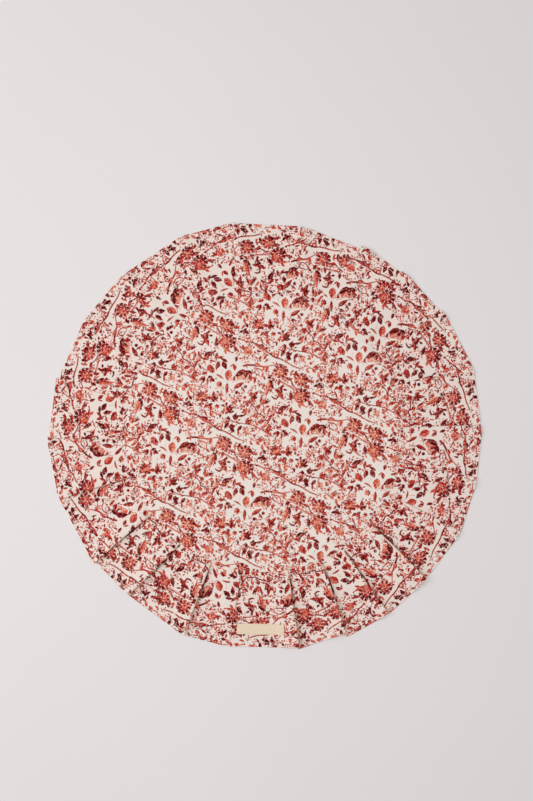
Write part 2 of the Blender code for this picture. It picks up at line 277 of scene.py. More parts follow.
class Drawing:
    """Closed outlines on one repeat of the cloth, in the order they are printed."""

    def __init__(self):
        self.outlines = []
        self.inks = []

    def fill(self, outline, ink):
        self.outlines.append(np.asarray(outline, float))
        self.inks.append(INKS.index(ink))

    def leaf(self, u, v, heading, length, width, inks, bend=0.0, blunt=False):
        """A leaf or petal from its stalk at (u, v); a second ink fills the half on its left."""
        length, width = length * FULLER[0], width * FULLER[1]
        share = rib_steps(length, blunt)
        middle = (share[1:] + share[:-1]) / 2 - 0.5
        way = np.radians(heading + bend * middle)
        steps = np.stack([np.cos(way), np.sin(way)], axis=1) * np.diff(share)[:, None] * length
        rib = np.concatenate([[[0, 0]], np.cumsum(steps, axis=0)]) + (u, v)
        turn = np.radians(heading + bend * (share - 0.5))
        normal = np.stack([-np.sin(turn), np.cos(turn)], axis=1)
        if blunt:
            half = width / 2 * np.sqrt(np.clip(np.sin(np.pi * share**1.5), 0, 1))
        elif len(share) > len(SEED_STEPS):
            half = width / 2 * np.sin(np.pi * share**0.85)
        else:
            half = np.array([0, width / 2, 0])
        side = normal * half[:, None]
        left = (rib + side)[-2:0:-1]
        self.fill(np.concatenate([rib[:1], (rib - side)[1:-1], rib[-1:], left]), inks[0])
        if len(inks) > 1 and length > TWO_INKS:
            self.fill(np.concatenate([rib, left]), inks[1])

    def stem(self, points, widths, ink):
        """A stroke along a smooth curve through points, its width going from first to last."""
        points = np.asarray(points, float)
        longer = np.concatenate([[2 * points[0] - points[1]], points, [2 * points[-1] - points[-2]]])
        line = []
        for a, b, c, d in zip(longer, longer[1:], longer[2:], longer[3:]):
            square, cube = 2 * a - 5 * b + 4 * c - d, 3 * b - a - 3 * c + d
            for t in (0.0, 0.33, 0.67):
                line.append(0.5 * (2 * b + (c - a) * t + square * t**2 + cube * t**3))
        line = np.array([*line, points[-1]])
        way = np.gradient(line, axis=0)
        way /= np.linalg.norm(way, axis=1)[:, None]
        normal = np.stack([-way[:, 1], way[:, 0]], axis=1)
        half = np.linspace(widths[0], widths[-1], len(line))[:, None] / 2
        self.fill(np.concatenate([line - normal * half, (line + normal * half)[::-1]]), ink)

    def stroke(self, u, v, heading, length, width, ink):
        """A thin four-cornered stroke."""
        way = np.array([math.cos(math.radians(heading)), math.sin(math.radians(heading))])
        side = np.array([-way[1], way[0]]) * width / 2
        start = np.array([u, v])
        middle = start + way * length * 0.45
        self.fill([start, middle - side, start + way * length, middle + side], ink)

    def dot(self, u, v, radius, ink, sides=7):
        turn = np.arange(sides) * 2 * np.pi / sides + u + v
        self.fill(np.stack([u + radius * np.cos(turn), v + radius * np.sin(turn)], axis=1), ink)

    def berry(self, u, v, radius, inks):
        """A round berry: its skin, and a darker heart."""
        self.dot(u, v, radius, inks[0], 8)
        self.dot(u - radius * 0.2, v + radius * 0.1, radius * 0.62, inks[1], 6)

    def burst(self, u, v, radius, petals, turn, shade):
        """A small round flower of short petals, darker towards the direction shade."""
        for i in range(petals):
            heading = turn + 360 * i / petals
            inks = shaded_inks(heading, shade, 0.45, -0.4)
            self.leaf(u, v, heading, radius, radius * 2.4 / petals**0.72, inks, 12)
        self.dot(u, v, radius * 0.2, "m")

    def rose(self, u, v, radius, turn, shade):
        """A full-blown rose: open petals round a pale heart, with dark folds and light gaps between."""

        def at(heading, reach):
            turned = math.radians(heading)
            return u + radius * reach * math.cos(turned), v + radius * reach * math.sin(turned)

        def crease(heading, reach, turned, length, width, ink):
            self.stroke(*at(heading, reach), heading + turned, radius * length, radius * width, ink)

        for i in range(9):
            heading = turn + 40 * i
            inks = shaded_inks(heading, shade, 0.3, -0.75)
            self.leaf(*at(heading, 0.32), heading, radius * 0.68, radius * 0.56, inks, 20, blunt=True)
        for i in range(9):
            heading = turn + 20 + 40 * i
            crease(heading, 0.62, 12, 0.42, 0.13, "g")
            crease(heading + 6, 0.78, 102, 0.46, 0.15, "m" if i % 3 else "b")
        for i in range(7):
            heading = turn + 51 * i
            inks = shaded_inks(heading, shade, 1.0, 0.3)
            self.leaf(*at(heading, 0.05), heading, radius * 0.52, radius * 0.36, inks, 20, blunt=True)
            crease(heading + 30, 0.46, 88, 0.42, 0.15, "m")
        for i in range(6):
            crease(turn + 60 * i, 0.26, 70, 0.30, 0.13, "g" if i % 2 else "m")

    def sprig(self, u, v, heading, size, inks):
        """A twig: a thin stem and four small leaves, in its inks by turns."""
        bend = 40 * math.sin(heading + u)
        way = math.radians(heading)
        places = [(u, v)]
        for i in range(4):
            way += math.radians(bend) / 4
            places.append((places[-1][0] + size * math.cos(way), places[-1][1] + size * math.sin(way)))
        self.stroke(*places[0], heading + bend / 2, size * 3.6, 0.5, "b")
        for i, (x, y) in enumerate(places[1:]):
            side = 0 if i == 3 else 55 if i % 2 else -55
            way = heading + bend * (i + 1) / 4 + side
            self.stroke(x, y, way, size * 2.3, size * 1.1, inks[i % len(inks)])


# The print's chart, one row for each motif: u and v are its place on the repeat (a leaf's stalk), and
# heading, turn and shade are degrees. The first ink is the whole motif's, and the second is its left
# half's or its heart's.
Leaf = namedtuple("Leaf", "u v heading length width inks bend", defaults=(0,))
Stem = namedtuple("Stem", "points widths ink")
Rose = namedtuple("Rose", "u v radius turn shade")
Burst = namedtuple("Burst", "u v radius petals turn shade")
Berry = namedtuple("Berry", "u v radius inks")
Thicket = namedtuple("Thicket", "u v wide high count")

LEAVES = [
    Leaf(8.5, 30.8, 112, 6.8, 2.9, "cb", 10), Leaf(8.8, 32.0, 52, 7.4, 2.4, "bc"),
    Leaf(20.2, 35.2, 187, 8.6, 2.5, "bm", 26), Leaf(15.2, 33.2, -28, 8.8, 4.4, "bm"),
    Leaf(12.8, 30.6, -68, 7.0, 3.8, "bm"), Leaf(12.4, 26.4, -46, 5.6, 1.7, "bc"),
    Leaf(6.2, 22.4, -27, 9.8, 4.8, "cb"), Leaf(7.6, 23.6, -72, 7.4, 4.0, "cc"),
    Leaf(12.0, 22.6, -60, 5.6, 3.2, "bc"), Leaf(4.4, 26.0, 28, 4.0, 2.2, "cb"),
    Leaf(6.4, 10.4, 45, 6.0, 2.3, "cb"), Leaf(13.6, 11.0, 52, 4.8, 2.8, "bm"),
    Leaf(15.6, 12.0, 2, 5.8, 3.2, "bm"), Leaf(13.4, 10.8, -48, 6.8, 2.0, "cb"),
    Leaf(8.2, 3.8, 62, 6.4, 2.8, "bc"), Leaf(10.4, 10.0, -60, 5.8, 2.5, "mb"),
    Leaf(-0.6, 8.2, 16, 3.6, 2.1, "bc"), Leaf(1.0, 6.4, 4, 4.6, 2.0, "bc"),
    Leaf(-1.0, 5.4, -46, 5.6, 2.8, "cb"), Leaf(32.2, 18.8, -56, 11.4, 2.9, "cb", 8),
    Leaf(17.8, 18.4, 4, 9.4, 1.8, "sb", -34), Leaf(25.8, 30.4, -62, 11.0, 6.2, "cs"),
    Leaf(23.4, 46.2, -64, 6.2, 2.7, "bm"), Leaf(26.8, 38.0, -54, 6.4, 3.2, "bc"),
    Leaf(26.2, 38.2, -106, 5.6, 1.6, "cs"), Leaf(34.0, 40.8, 48, 4.0, 2.2, "cb"),
    Leaf(45.2, 23.6, -20, 7.4, 1.7, "cb", -10), Leaf(44.6, 7.4, 34, 4.0, 1.5, "s"),
    Leaf(31.2, 87.8, 119, 8.8, 2.9, "bc"), Leaf(30.4, 88.4, 38, 5.4, 3.6, "bm"),
    Leaf(30.4, 88.6, 206, 6.0, 3.0, "bc"), Leaf(30.0, 88.6, -22, 4.4, 3.0, "bm"),
    Leaf(5.0, 44.8, 3, 12.0, 2.8, "sc"), Leaf(9.6, 43.6, -32, 5.0, 2.2, "sc"),
    Leaf(60.6, 19.6, 82, 11.0, 3.4, "bc", -12), Leaf(61.0, 21.4, 146, 5.6, 3.2, "bc"),
    Leaf(60.8, 21.0, 38, 5.4, 3.8, "bm"), Leaf(61.4, 22.0, -62, 4.6, 3.0, "bc"),
    Leaf(61.0, 17.2, -72, 6.2, 2.3, "bc"), Leaf(60.8, 17.2, -98, 6.4, 2.0, "cb"),
    Leaf(60.4, 17.0, -124, 5.6, 1.9, "cb"), Leaf(73.0, 20.4, 128, 9.4, 2.7, "cb"),
    Leaf(73.0, 20.6, 106, 6.4, 3.6, "cs"), Leaf(73.2, 22.4, 61, 8.2, 2.5, "bm"),
    Leaf(70.8, 20.0, -70, 5.2, 3.4, "bc"), Leaf(76.2, 20.2, -62, 5.6, 2.6, "sc"),
    Leaf(80.4, 24.8, -128, 5.4, 2.2, "cs"), Leaf(86.6, 19.2, -78, 10.4, 2.4, "cb"),
    Leaf(89.2, 26.4, 58, 10.2, 4.4, "bm", -8), Leaf(88.6, 23.4, 18, 5.6, 2.2, "bc"),
    Leaf(89.4, 23.2, 44, 5.8, 2.6, "bc"), Leaf(91.0, 22.0, -8, 4.2, 1.6, "cs"),
    Leaf(90.8, 16.4, -30, 4.6, 1.9, "bm"), Leaf(81.6, 27.2, -42, 5.8, 1.9, "bc"),
    Leaf(80.6, 46.0, 32, 3.8, 2.2, "bm"), Leaf(72.8, 41.8, -8, 8.6, 3.0, "cb", -10),
    Leaf(79.8, 41.6, -30, 7.4, 3.4, "cb"), Leaf(87.4, 48.2, -48, 8.4, 3.4, "bm", -26),
    Leaf(63.6, 46.2, -35, 9.6, 4.0, "bm"), Leaf(70.4, 39.4, -38, 3.4, 2.2, "cb"),
    Leaf(63.8, 44.6, -64, 16.4, 4.2, "ps"), Leaf(66.4, 44.0, -72, 13.0, 3.2, "sc", 6),
    Leaf(61.4, 40.4, -68, 6.8, 2.2, "sb"), Leaf(57.8, 37.2, -50, 3.6, 1.8, "c"),
    Leaf(50.8, 39.4, -58, 6.2, 2.3, "cb"), Leaf(54.4, 23.2, 76, 6.2, 1.7, "sb"),
    Leaf(61.8, 2.4, 68, 7.2, 2.6, "cb", 20), Leaf(65.8, 1.4, 98, 6.0, 2.3, "cs"),
    Leaf(66.2, 10.4, -58, 4.8, 2.0, "bc"), Leaf(80.4, 4.2, 50, 7.4, 3.0, "cb"),
    Leaf(82.6, 1.6, 148, 4.8, 2.2, "sc"), Leaf(86.6, 2.4, 68, 7.2, 2.6, "cs"),
    Leaf(90.4, 8.6, -50, 8.6, 2.8, "bc"), Leaf(70.2, 6.4, 18, 5.6, 2.8, "sp"),
    Leaf(24.8, 80.4, -96, 5.8, 2.5, "bc"), Leaf(31.4, 80.6, 64, 4.4, 3.0, "bm"),
    Leaf(30.8, 80.8, -13, 5.8, 3.5, "cb"), Leaf(31.0, 81.4, -112, 5.4, 2.9, "bc"),
    Leaf(41.2, 87.8, 46, 4.0, 2.0, "bm"), Leaf(44.6, 84.8, -33, 4.8, 2.2, "cb"),
    Leaf(45.8, 81.2, -57, 4.8, 1.9, "bm"), Leaf(36.2, 77.8, -38, 6.8, 3.5, "cs"),
    Leaf(30.2, 74.6, -33, 7.6, 1.9, "cb", -26), Leaf(-0.4, 84.8, -36, 5.2, 2.6, "bc"),
    Leaf(0.2, 80.4, -32, 4.0, 2.4, "sc"), Leaf(5.4, 80.6, -42, 6.8, 2.6, "sc"),
    Leaf(10.0, 77.4, -24, 5.2, 2.7, "bm"), Leaf(10.2, 75.6, -86, 5.0, 2.0, "cb"),
    Leaf(13.0, 70.6, 0, 5.8, 3.3, "m"), Leaf(13.2, 69.8, 76, 4.2, 2.4, "bm"),
    Leaf(13.8, 70.8, 236, 5.4, 2.4, "m"), Leaf(14.0, 69.8, -58, 3.6, 2.0, "c"),
    Leaf(1.6, 68.0, 14, 7.2, 3.0, "bc"), Leaf(-1.6, 69.6, -12, 4.6, 2.6, "mb"),
    Leaf(0.2, 64.6, 32, 4.2, 2.4, "cs"), Leaf(1.0, 61.6, 3, 8.0, 3.2, "cb"),
    Leaf(13.8, 52.4, -14, 8.8, 2.7, "bc", 8), Leaf(21.0, 58.6, -42, 4.6, 2.3, "bc"),
    Leaf(23.4, 56.6, -134, 4.0, 1.9, "cb"), Leaf(34.6, 56.0, -36, 3.8, 1.9, "bc"),
    Leaf(36.6, 61.6, 32, 3.6, 1.9, "bc"), Leaf(41.8, 60.2, -64, 5.8, 2.0, "cb"),
    Leaf(46.0, 64.4, -84, 5.6, 2.2, "cb"), Leaf(31.0, 50.2, 28, 3.0, 1.5, "c"),
    Leaf(50.2, 86.2, 101, 9.0, 3.0, "bm"), Leaf(50.4, 86.6, 79, 8.6, 2.8, "mb"),
    Leaf(50.6, 86.4, 46, 6.6, 2.8, "bm"), Leaf(50.2, 86.8, 136, 6.4, 2.4, "bc"),
    Leaf(50.0, 87.4, -92, 3.8, 2.6, "cb"), Leaf(59.8, 84.2, 104, 6.6, 3.4, "bm"),
    Leaf(60.2, 84.0, 80, 6.8, 3.2, "bm"), Leaf(59.6, 85.4, 152, 3.4, 2.0, "b"),
    Leaf(61.6, 89.4, 48, 6.4, 2.2, "bm"), Leaf(53.2, 83.6, -43, 5.2, 3.0, "bm"),
    Leaf(57.6, 79.4, -86, 8.0, 3.2, "mb"), Leaf(56.4, 78.2, -128, 3.2, 2.2, "c"),
    Leaf(61.8, 75.0, 58, 6.0, 3.8, "bm"), Leaf(61.6, 76.0, -12, 6.8, 3.1, "m"),
    Leaf(62.0, 75.0, 96, 5.2, 3.0, "mb"), Leaf(70.0, 84.2, -92, 7.2, 3.1, "bm"),
    Leaf(70.2, 78.6, -56, 6.0, 1.9, "bc"), Leaf(72.8, 84.2, -24, 9.4, 4.2, "sp"),
    Leaf(73.0, 84.2, -22, 3.0, 1.5, "b"), Leaf(71.4, 88.2, 38, 5.2, 2.6, "bm"),
    Leaf(71.2, 88.4, 97, 6.4, 2.6, "bc"), Leaf(71.8, 88.6, 66, 7.4, 3.0, "cb"),
    Leaf(53.4, 74.6, -60, 5.6, 1.5, "cs"), Leaf(76.0, 57.2, 18, 5.4, 3.0, "bc"),
    Leaf(70.8, 52.4, -60, 6.8, 2.7, "cb"), Leaf(62.4, 51.4, -100, 5.8, 2.7, "bm"),
    Leaf(64.6, 49.8, -34, 4.4, 2.3, "bc"), Leaf(50.2, 62.0, -102, 5.4, 1.5, "b"),
    Leaf(86.4, 75.4, -4, 4.4, 2.1, "cs"), Leaf(90.6, 79.6, -8, 5.4, 3.0, "sc"),
    Leaf(90.6, 83.6, -22, 4.6, 2.5, "cb"), Leaf(22.6, 69.8, -112, 4.4, 1.6, "sb"),
    Leaf(34.4, 68.4, 22, 4.6, 2.0, "bm"), Leaf(40.6, 67.8, 52, 4.4, 2.6, "cb"),
    Leaf(80.6, 68.8, -92, 4.0, 2.6, "mb"), Leaf(46.0, 88.0, -62, 4.4, 1.8, "cs"),
    Leaf(56.6, 45.0, -24, 4.2, 2.0, "cb"), Leaf(47.0, 92.2, -96, 3.4, 1.6, "c"),
    Leaf(2.2, 89.0, 42, 3.8, 1.8, "sc"), Leaf(3.4, 14.4, 162, 4.0, 1.8, "mb"),
    Leaf(2.6, 24.6, 112, 4.8, 2.4, "bc"), Leaf(0.4, 28.6, 82, 5.4, 2.4, "mb"),
]
PETALS = [
    Leaf(38.6, 26.4, 78, 10.4, 8.6, "ps", -30), Leaf(44.4, 31.4, 108, 8.6, 7.4, "ps", 30),
    Leaf(34.6, 28.0, 66, 11.6, 4.6, "mb", -34), Leaf(38.8, 38.2, 12, 7.6, 3.8, "bm", -34),
    Leaf(43.8, 39.4, -46, 7.2, 3.4, "bc", -40), Leaf(42.0, 38.6, -84, 5.6, 3.0, "bm"),
    Leaf(34.0, 28.8, -58, 5.0, 2.2, "bc", 50), Leaf(45.2, 29.0, -112, 10.6, 3.8, "cb"),
    Leaf(29.0, 60.6, -92, 8.4, 5.2, "sp"), Leaf(27.6, 60.2, -112, 6.6, 2.4, "cs", 40),
    Leaf(30.4, 60.2, -66, 6.4, 2.4, "cs", -46), Leaf(29.2, 57.0, -80, 3.4, 1.8, "c"),
    Leaf(9.6, 82.0, 92, 5.2, 3.4, "sp", 40), Leaf(6.8, 84.6, -40, 4.6, 3.2, "sp", -30),
    Leaf(94.4, 53.6, -88, 7.8, 5.2, "cs"), Leaf(84.6, 16.0, 108, 8.0, 2.0, "cb", -60),
    Leaf(84.2, 15.0, 56, 8.2, 2.0, "cb", 64), Leaf(85.4, 18.0, 80, 5.0, 3.4, "sp"),
    Leaf(48.6, 52.4, 200, 6.4, 2.8, "cs"), Leaf(53.8, 56.4, -68, 5.2, 3.2, "cs"),
    Leaf(75.6, 67.4, -70, 6.2, 2.2, "sc"), Leaf(82.2, 62.0, 98, 6.0, 1.4, "cs"),
    Leaf(78.6, 68.8, -66, 7.0, 1.6, "cb"), Leaf(66.6, 62.0, 62, 4.4, 3.2, "bc"),
]
STEMS = [
    Stem([(14, 61.2), (21, 62.8), (28, 66.2), (35, 67.0), (47, 67.0), (55, 67.4)], (1.2, 1.6), "c"),
    Stem([(27, 65.8), (34, 67.8), (42, 68.4)], (1.3, 0.6), "m"),
    Stem([(30, 66), (37, 65.6), (43, 67.2)], (1.5, 1.0), "c"),
    Stem([(47, 67.2), (54, 67.0), (60, 69.4), (66, 70.2), (73, 70.8), (81.6, 73.2)], (1.5, 0.7), "b"),
    Stem([(60, 68.8), (67, 69.8), (75, 70.4), (81.0, 72.6)], (0.7, 0.5), "s"),
    Stem([(35.6, 43.4), (41, 47.6), (46.6, 50.8), (52.4, 53.6)], (2.0, 1.7), "c"),
    Stem([(38, 45.6), (43, 49.0), (48, 51.6)], (1.7, 1.1), "m"),
    Stem([(52, 53.8), (55.6, 57.6), (60.4, 63.0), (64.4, 65.8)], (1.2, 0.8), "b"),
    Stem([(52.4, 54.6), (57, 59.6), (62, 65.0)], (0.5, 0.5), "s"),
    Stem(
        [(55.4, 82.0), (62, 82.8), (69.4, 86.4), (76.6, 90.0), (84, 92.2), (92, 93.0), (99, 93.6)],
        (1.0, 0.8), "b",
    ),
    Stem([(76, 89.4), (83, 91.6), (91, 92.4)], (0.6, 0.5), "s"),
    Stem([(53.4, 74.2), (54.8, 70.8), (57.4, 68.6)], (0.7, 1.0), "c"),
    Stem([(60, 17.4), (66, 15.4), (71, 14.4), (74.6, 12.0), (79, 12.8), (83.2, 12.6)], (1.0, 1.4), "b"),
    Stem([(72.4, 12.4), (73.4, 15.6)], (1.5, 0.6), "b"),
    Stem([(83, 12.8), (84.6, 11.6), (87, 11.4)], (0.9, 0.5), "b"),
    Stem([(49.4, 5.4), (49.8, 10.6), (50.8, 16.6)], (0.9, 0.6), "c"),
    Stem([(50, 11.4), (53, 14.6), (55.2, 17.0)], (0.6, 0.6), "c"),
    Stem([(49.8, 9.6), (46.6, 8.6)], (0.6, 0.5), "c"), Stem([(50.2, 12.4), (53.2, 11.6)], (0.5, 0.5), "b"),
    Stem([(78.6, 50.0), (77.6, 46.6), (79.4, 44.0), (81.4, 42.2)], (2.2, 3.0), "b"),
    Stem([(79.6, 45.4), (80.4, 43.6), (81.4, 42.4)], (1.4, 1.8), "m"),
    Stem([(80.0, 41.0), (80.6, 37.6), (80.6, 34.8), (78.0, 33.6), (75.4, 33.8)], (1.9, 1.1), "b"),
    Stem([(81.2, 36.4), (80.6, 33.6), (77.0, 32.8)], (0.6, 0.5), "m"),
    Stem([(79.8, 58.6), (83.6, 56.4), (88, 55.0), (94, 54.4)], (1.2, 0.8), "b"),
    Stem([(74.4, 51.4), (80, 52.2), (86, 52.8), (93, 54.0)], (1.1, 0.9), "c"),
    Stem([(74, 50.2), (80, 50.8), (86, 52.2)], (0.5, 0.5), "s"),
    Stem([(81.8, 62.0), (80.4, 65.4), (79.6, 69.0)], (0.9, 1.3), "b"),
    Stem([(82.6, 27.0), (86.4, 24.4), (90.6, 23.6)], (0.8, 1.2), "b"),
    Stem([(84.6, 25.4), (88, 26.6)], (0.5, 0.4), "c"),
    Stem([(14.0, 92.4), (17.0, 93.6), (20.2, 91.4)], (0.9, 0.6), "s"),
    Stem([(12.8, 90.6), (15.4, 88.4), (17.0, 86.8)], (0.5, 0.5), "s"),
    Stem([(0, 93.0), (5.0, 92.6), (9.6, 93.8)], (1.2, 0.6), "s"),
    Stem([(6.2, 81.4), (8.0, 78.6), (9.8, 76.0)], (0.9, 0.8), "c"),
    Stem([(46, 46.8), (50, 48.8), (54.4, 47.6), (56.2, 44.2), (53, 42.6)], (1.4, 0.7), "c"),
    Stem([(46.4, 44.0), (49.6, 42.6), (53.2, 43.6)], (1.3, 0.8), "b"),
    Stem([(45.2, 47.6), (48.8, 46.0), (51.8, 45.2)], (0.9, 0.5), "b"),
    Stem([(56.2, 52.0), (59.6, 49.6), (62.6, 48.6)], (0.9, 0.6), "s"),
    Stem([(53, 55), (52.2, 49.8), (54.6, 46.6)], (0.6, 0.6), "s"),
    Stem([(45.6, 29.4), (47.8, 31.2), (49.2, 34.0)], (1.2, 0.6), "s"),
    Stem([(33.6, 23.6), (36.6, 24.8), (39.6, 25.0)], (1.0, 0.6), "s"),
    Stem([(32.2, 20.4), (33.2, 22.8), (32.8, 26.0)], (0.6, 0.4), "s"),
    Stem([(20.8, 26.6), (21.6, 23.4), (23.2, 21.6)], (0.5, 0.4), "p"),
    Stem([(36.8, 6.6), (34.4, 5.6), (33.8, 3.6)], (0.8, 0.5), "s"),
    Stem([(36.6, 48.4), (33.6, 46.6), (32.4, 44.0)], (0.7, 0.4), "s"),
    Stem([(66.6, 14.6), (65.6, 11.8), (66.8, 8.6)], (0.9, 0.6), "s"),
    Stem([(41.6, 65.8), (43.8, 61.6), (43.4, 57.4)], (1.2, 0.8), "s"),
    Stem([(22.2, 66.4), (22.6, 62.8), (24.8, 60.8)], (0.8, 0.6), "s"),
    Stem([(57.2, 91.6), (59.4, 88.6), (60.0, 84.4)], (0.7, 0.6), "s"),
    Stem([(24.2, 48.6), (24.0, 46.4)], (0.6, 0.6), "b"),
    Stem([(4.2, 45.2), (7.6, 45.8), (9.2, 47.6)], (1.0, 1.4), "m"),
]
ROSES = [
    Rose(7.4, 52.6, 7.4, 20, 75), Rose(67.6, 59.4, 7.2, 5, 80), Rose(88.6, 64.6, 6.8, 40, 60),
]
BURSTS = [
    Burst(19.6, 84.6, 4.9, 9, 10, 200), Burst(22.8, 82.6, 3.6, 7, 40, -30),
    Burst(26.8, 12.6, 3.2, 8, 15, 60), Burst(38.8, 84.8, 2.9, 6, 20, 120),
    Burst(35.2, 4.8, 2.2, 5, 50, 200), Burst(19.0, 79.4, 2.6, 6, 0, 270), Burst(40.8, 2.2, 1.7, 5, 30, 240),
    Burst(86.2, 83.6, 2.0, 5, 10, 200), Burst(82.2, 87.0, 1.8, 5, 60, 250),
    Burst(76.8, 8.4, 2.2, 5, 35, 180), Burst(12.4, 4.6, 1.5, 5, 20, 90), Burst(64.6, 30.6, 1.8, 5, 15, 130),
]
BERRIES = [
    Berry(49.0, 26.1, 1.8, "bm"), Berry(45.6, 16.2, 1.9, "bm"), Berry(27.6, 45.8, 1.2, "sb"),
    Berry(37.0, 43.4, 1.0, "bm"), Berry(55.2, 17.0, 1.7, "cb"), Berry(53.3, 11.2, 1.4, "cb"),
    Berry(7.0, 83.6, 1.5, "cb"), Berry(26.4, 83.4, 1.4, "bm"), Berry(14.6, 60.8, 1.2, "bm"),
    Berry(21.4, 91.0, 1.2, "cb"), Berry(24.2, 48.6, 0.9, "cb"), Berry(35.6, 59.4, 1.1, "cb"),
    Berry(25.0, 51.4, 0.9, "cs"), Berry(37.8, 1.6, 1.3, "cb"), Berry(44.4, 1.4, 1.3, "bm"),
    Berry(36.6, 94.0, 0.9, "cb"), Berry(71.6, 38.0, 1.2, "bm"), Berry(87.4, 17.2, 1.1, "bm"),
    Berry(66.4, 17.6, 1.1, "cb"), Berry(65.6, 15.2, 0.9, "bm"), Berry(22.4, 62.8, 1.2, "cb"),
    Berry(73.0, 8.2, 1.0, "cb"), Berry(88.8, 71.6, 1.0, "cb"), Berry(50.4, 7.0, 1.3, "cs"),
]
# Where small twigs fill the ground between the leaves: half sizes, and how many
THICKETS = [
    Thicket(12, 66, 10, 6, 5), Thicket(35, 67, 14, 4, 7), Thicket(46, 76, 6, 5, 5),
    Thicket(82, 84, 9, 7, 7), Thicket(33, 53, 11, 8, 8), Thicket(60, 42, 13, 11, 12),
    Thicket(76, 17, 14, 10, 12), Thicket(42, 8, 16, 6, 9), Thicket(9, 8, 9, 7, 5),
    Thicket(11, 86, 11, 5, 6), Thicket(68, 57, 7, 6, 4), Thicket(84, 58, 8, 5, 5), Thicket(5, 50, 9, 7, 4),
    Thicket(88, 40, 6, 6, 4), Thicket(20, 88, 8, 4, 3), Thicket(62, 78, 8, 5, 4), Thicket(29, 80, 8, 5, 4),
    Thicket(57, 12, 6, 8, 5), Thicket(86, 5, 8, 5, 5), Thicket(5, 27, 7, 7, 3),
]


def thicket_share(cloth):
    """0 on open ground, up to THICKEST in the middle of a thicket, for places on the cloth."""
    share = np.zeros(len(cloth))
    for u, v, wide, high, _ in THICKETS:
        away = (cloth - (u, v) + REPEAT / 2) % REPEAT - REPEAT / 2
        reach = np.hypot(away[:, 0] / wide, away[:, 1] / high)
        share = np.maximum(share, 1 - smooth(reach - THICKET_HEART))
    return share * THICKEST


def draw_print():
    """Everything that is printed on one repeat: twigs in the background first, then the rest."""
    drawing = Drawing()
    for number, (u, v, wide, high, count) in enumerate(THICKETS):
        for i in range(count):
            turn, reach = 2.4 * i + number, math.sqrt((i + 0.5) / count)
            place = (u + wide * reach * math.cos(turn), v + high * reach * math.sin(turn))
            inks = SPRIG_INKS[(i + number) % len(SPRIG_INKS)]
            drawing.sprig(*place, 137 * i + 60 * number, 1.3 + 0.15 * (i % 3), inks)
    for stem in STEMS:
        drawing.stem(*stem)
    for flower in ROSES:
        drawing.rose(*flower)
    for petal in PETALS:
        drawing.leaf(*petal, blunt=True)
    for flower in BURSTS:
        drawing.burst(*flower)
    for leaf in LEAVES:
        drawing.leaf(*leaf)
    for berry in BERRIES:
        drawing.berry(*berry)
    for i in range(SEEDS):
        u = (i * SEED_SPREAD[0] + 0.31) % 1 * REPEAT[0]
        v = (i * SEED_SPREAD[1] + 0.12) % 1 * REPEAT[1]
        drawing.leaf(u, v, 71 * i, 1.6 + 0.5 * (i % 3), 0.9, "scsb"[i % 4])
    return drawing


def tile_ground():
    """Points round the tile's border, in order, and points all over the ground inside it."""
    steps = np.ceil(REPEAT / TILE_GRID).astype(int)
    us, vs = (np.linspace(0, REPEAT[axis], steps[axis] + 1) for axis in (0, 1))
    border = [(u, 0) for u in us[:-1]] + [(REPEAT[0], v) for v in vs[:-1]]
    border += [(u, REPEAT[1]) for u in us[:0:-1]] + [(0, v) for v in vs[:0:-1]]
    return border, [(u, v) for u in us[1:-1] for v in vs[1:-1]]


def lay_tile(drawing):
    """Cuts one repeat into triangles along the drawing: its points, corners and inks."""
    points, faces, inks = [], [], []
    for outline, ink in zip(drawing.outlines, drawing.inks):
        area = np.cross(outline, np.roll(outline, -1, axis=0)).sum()
        outline = outline if area > 0 else outline[::-1]
        for shift in product((-1, 0, 1), repeat=2):
            moved = outline + REPEAT * shift
            if (moved.max(0) > 0).all() and (moved.min(0) < REPEAT).all():
                faces.append(list(range(len(points), len(points) + len(moved))))
                points.extend(moved)
                inks.append(ink)
    border, inner = tile_ground()
    start = len(points)
    points.extend(border + inner)
    edges = [(start + i, start + (i + 1) % len(border)) for i in range(len(border))]
    made = delaunay_2d_cdt([Vector(p) for p in points], edges, faces, 0, TOUCH, True)
    places = np.array([tuple(p) for p in made[0]], float)
    ink = np.array([inks[max(over)] if over else 0 for over in made[5]])
    ground = np.array(points[start:])
    places, corners, ink = join_same_ink(places, np.array(made[2]), ink, ground, len(border))
    middle = places[corners].mean(axis=1)
    inside = ((middle > 0) & (middle < REPEAT)).all(axis=1)
    tile = keep_faces(places, corners, ink, inside)
    for axis in (0, 1):
        tile = match_borders(*tile, axis)
    return tile


def ink_lines(points, corners, inks):
    """The edges between triangles of different inks, inside the tile."""
    edges = triangle_edges(corners)
    key = edges.min(axis=1) * len(points) + edges.max(axis=1)
    order = np.argsort(key, kind="stable")
    pair = np.flatnonzero(key[order][1:] == key[order][:-1])
    first, second = order[pair], order[pair + 1]
    owner = np.repeat(inks, 3)
    lines = edges[first[owner[first] != owner[second]]]
    middle = points[lines].mean(axis=1)
    return lines[((middle > HAIR) & (middle < REPEAT - HAIR)).all(axis=1)]


def straighten(points, lines):
    """Each point of the lines, with those next to it, without the points on a straight stretch."""
    beside = {}
    for a, b in lines.tolist():
        beside.setdefault(a, []).append(b)
        beside.setdefault(b, []).append(a)
    for point in sorted(beside):
        if len(beside[point]) == 2:
            a, b = beside[point]
            span = points[b] - points[a]
            off = abs(np.cross(span, points[point] - points[a])) / max(np.linalg.norm(span), 1e-6)
            if off < STRAIGHT and b not in beside[a]:
                beside[a][beside[a].index(point)] = b
                beside[b][beside[b].index(point)] = a
                beside[point] = []
    return {point: beside[point] for point in sorted(beside) if beside[point]}


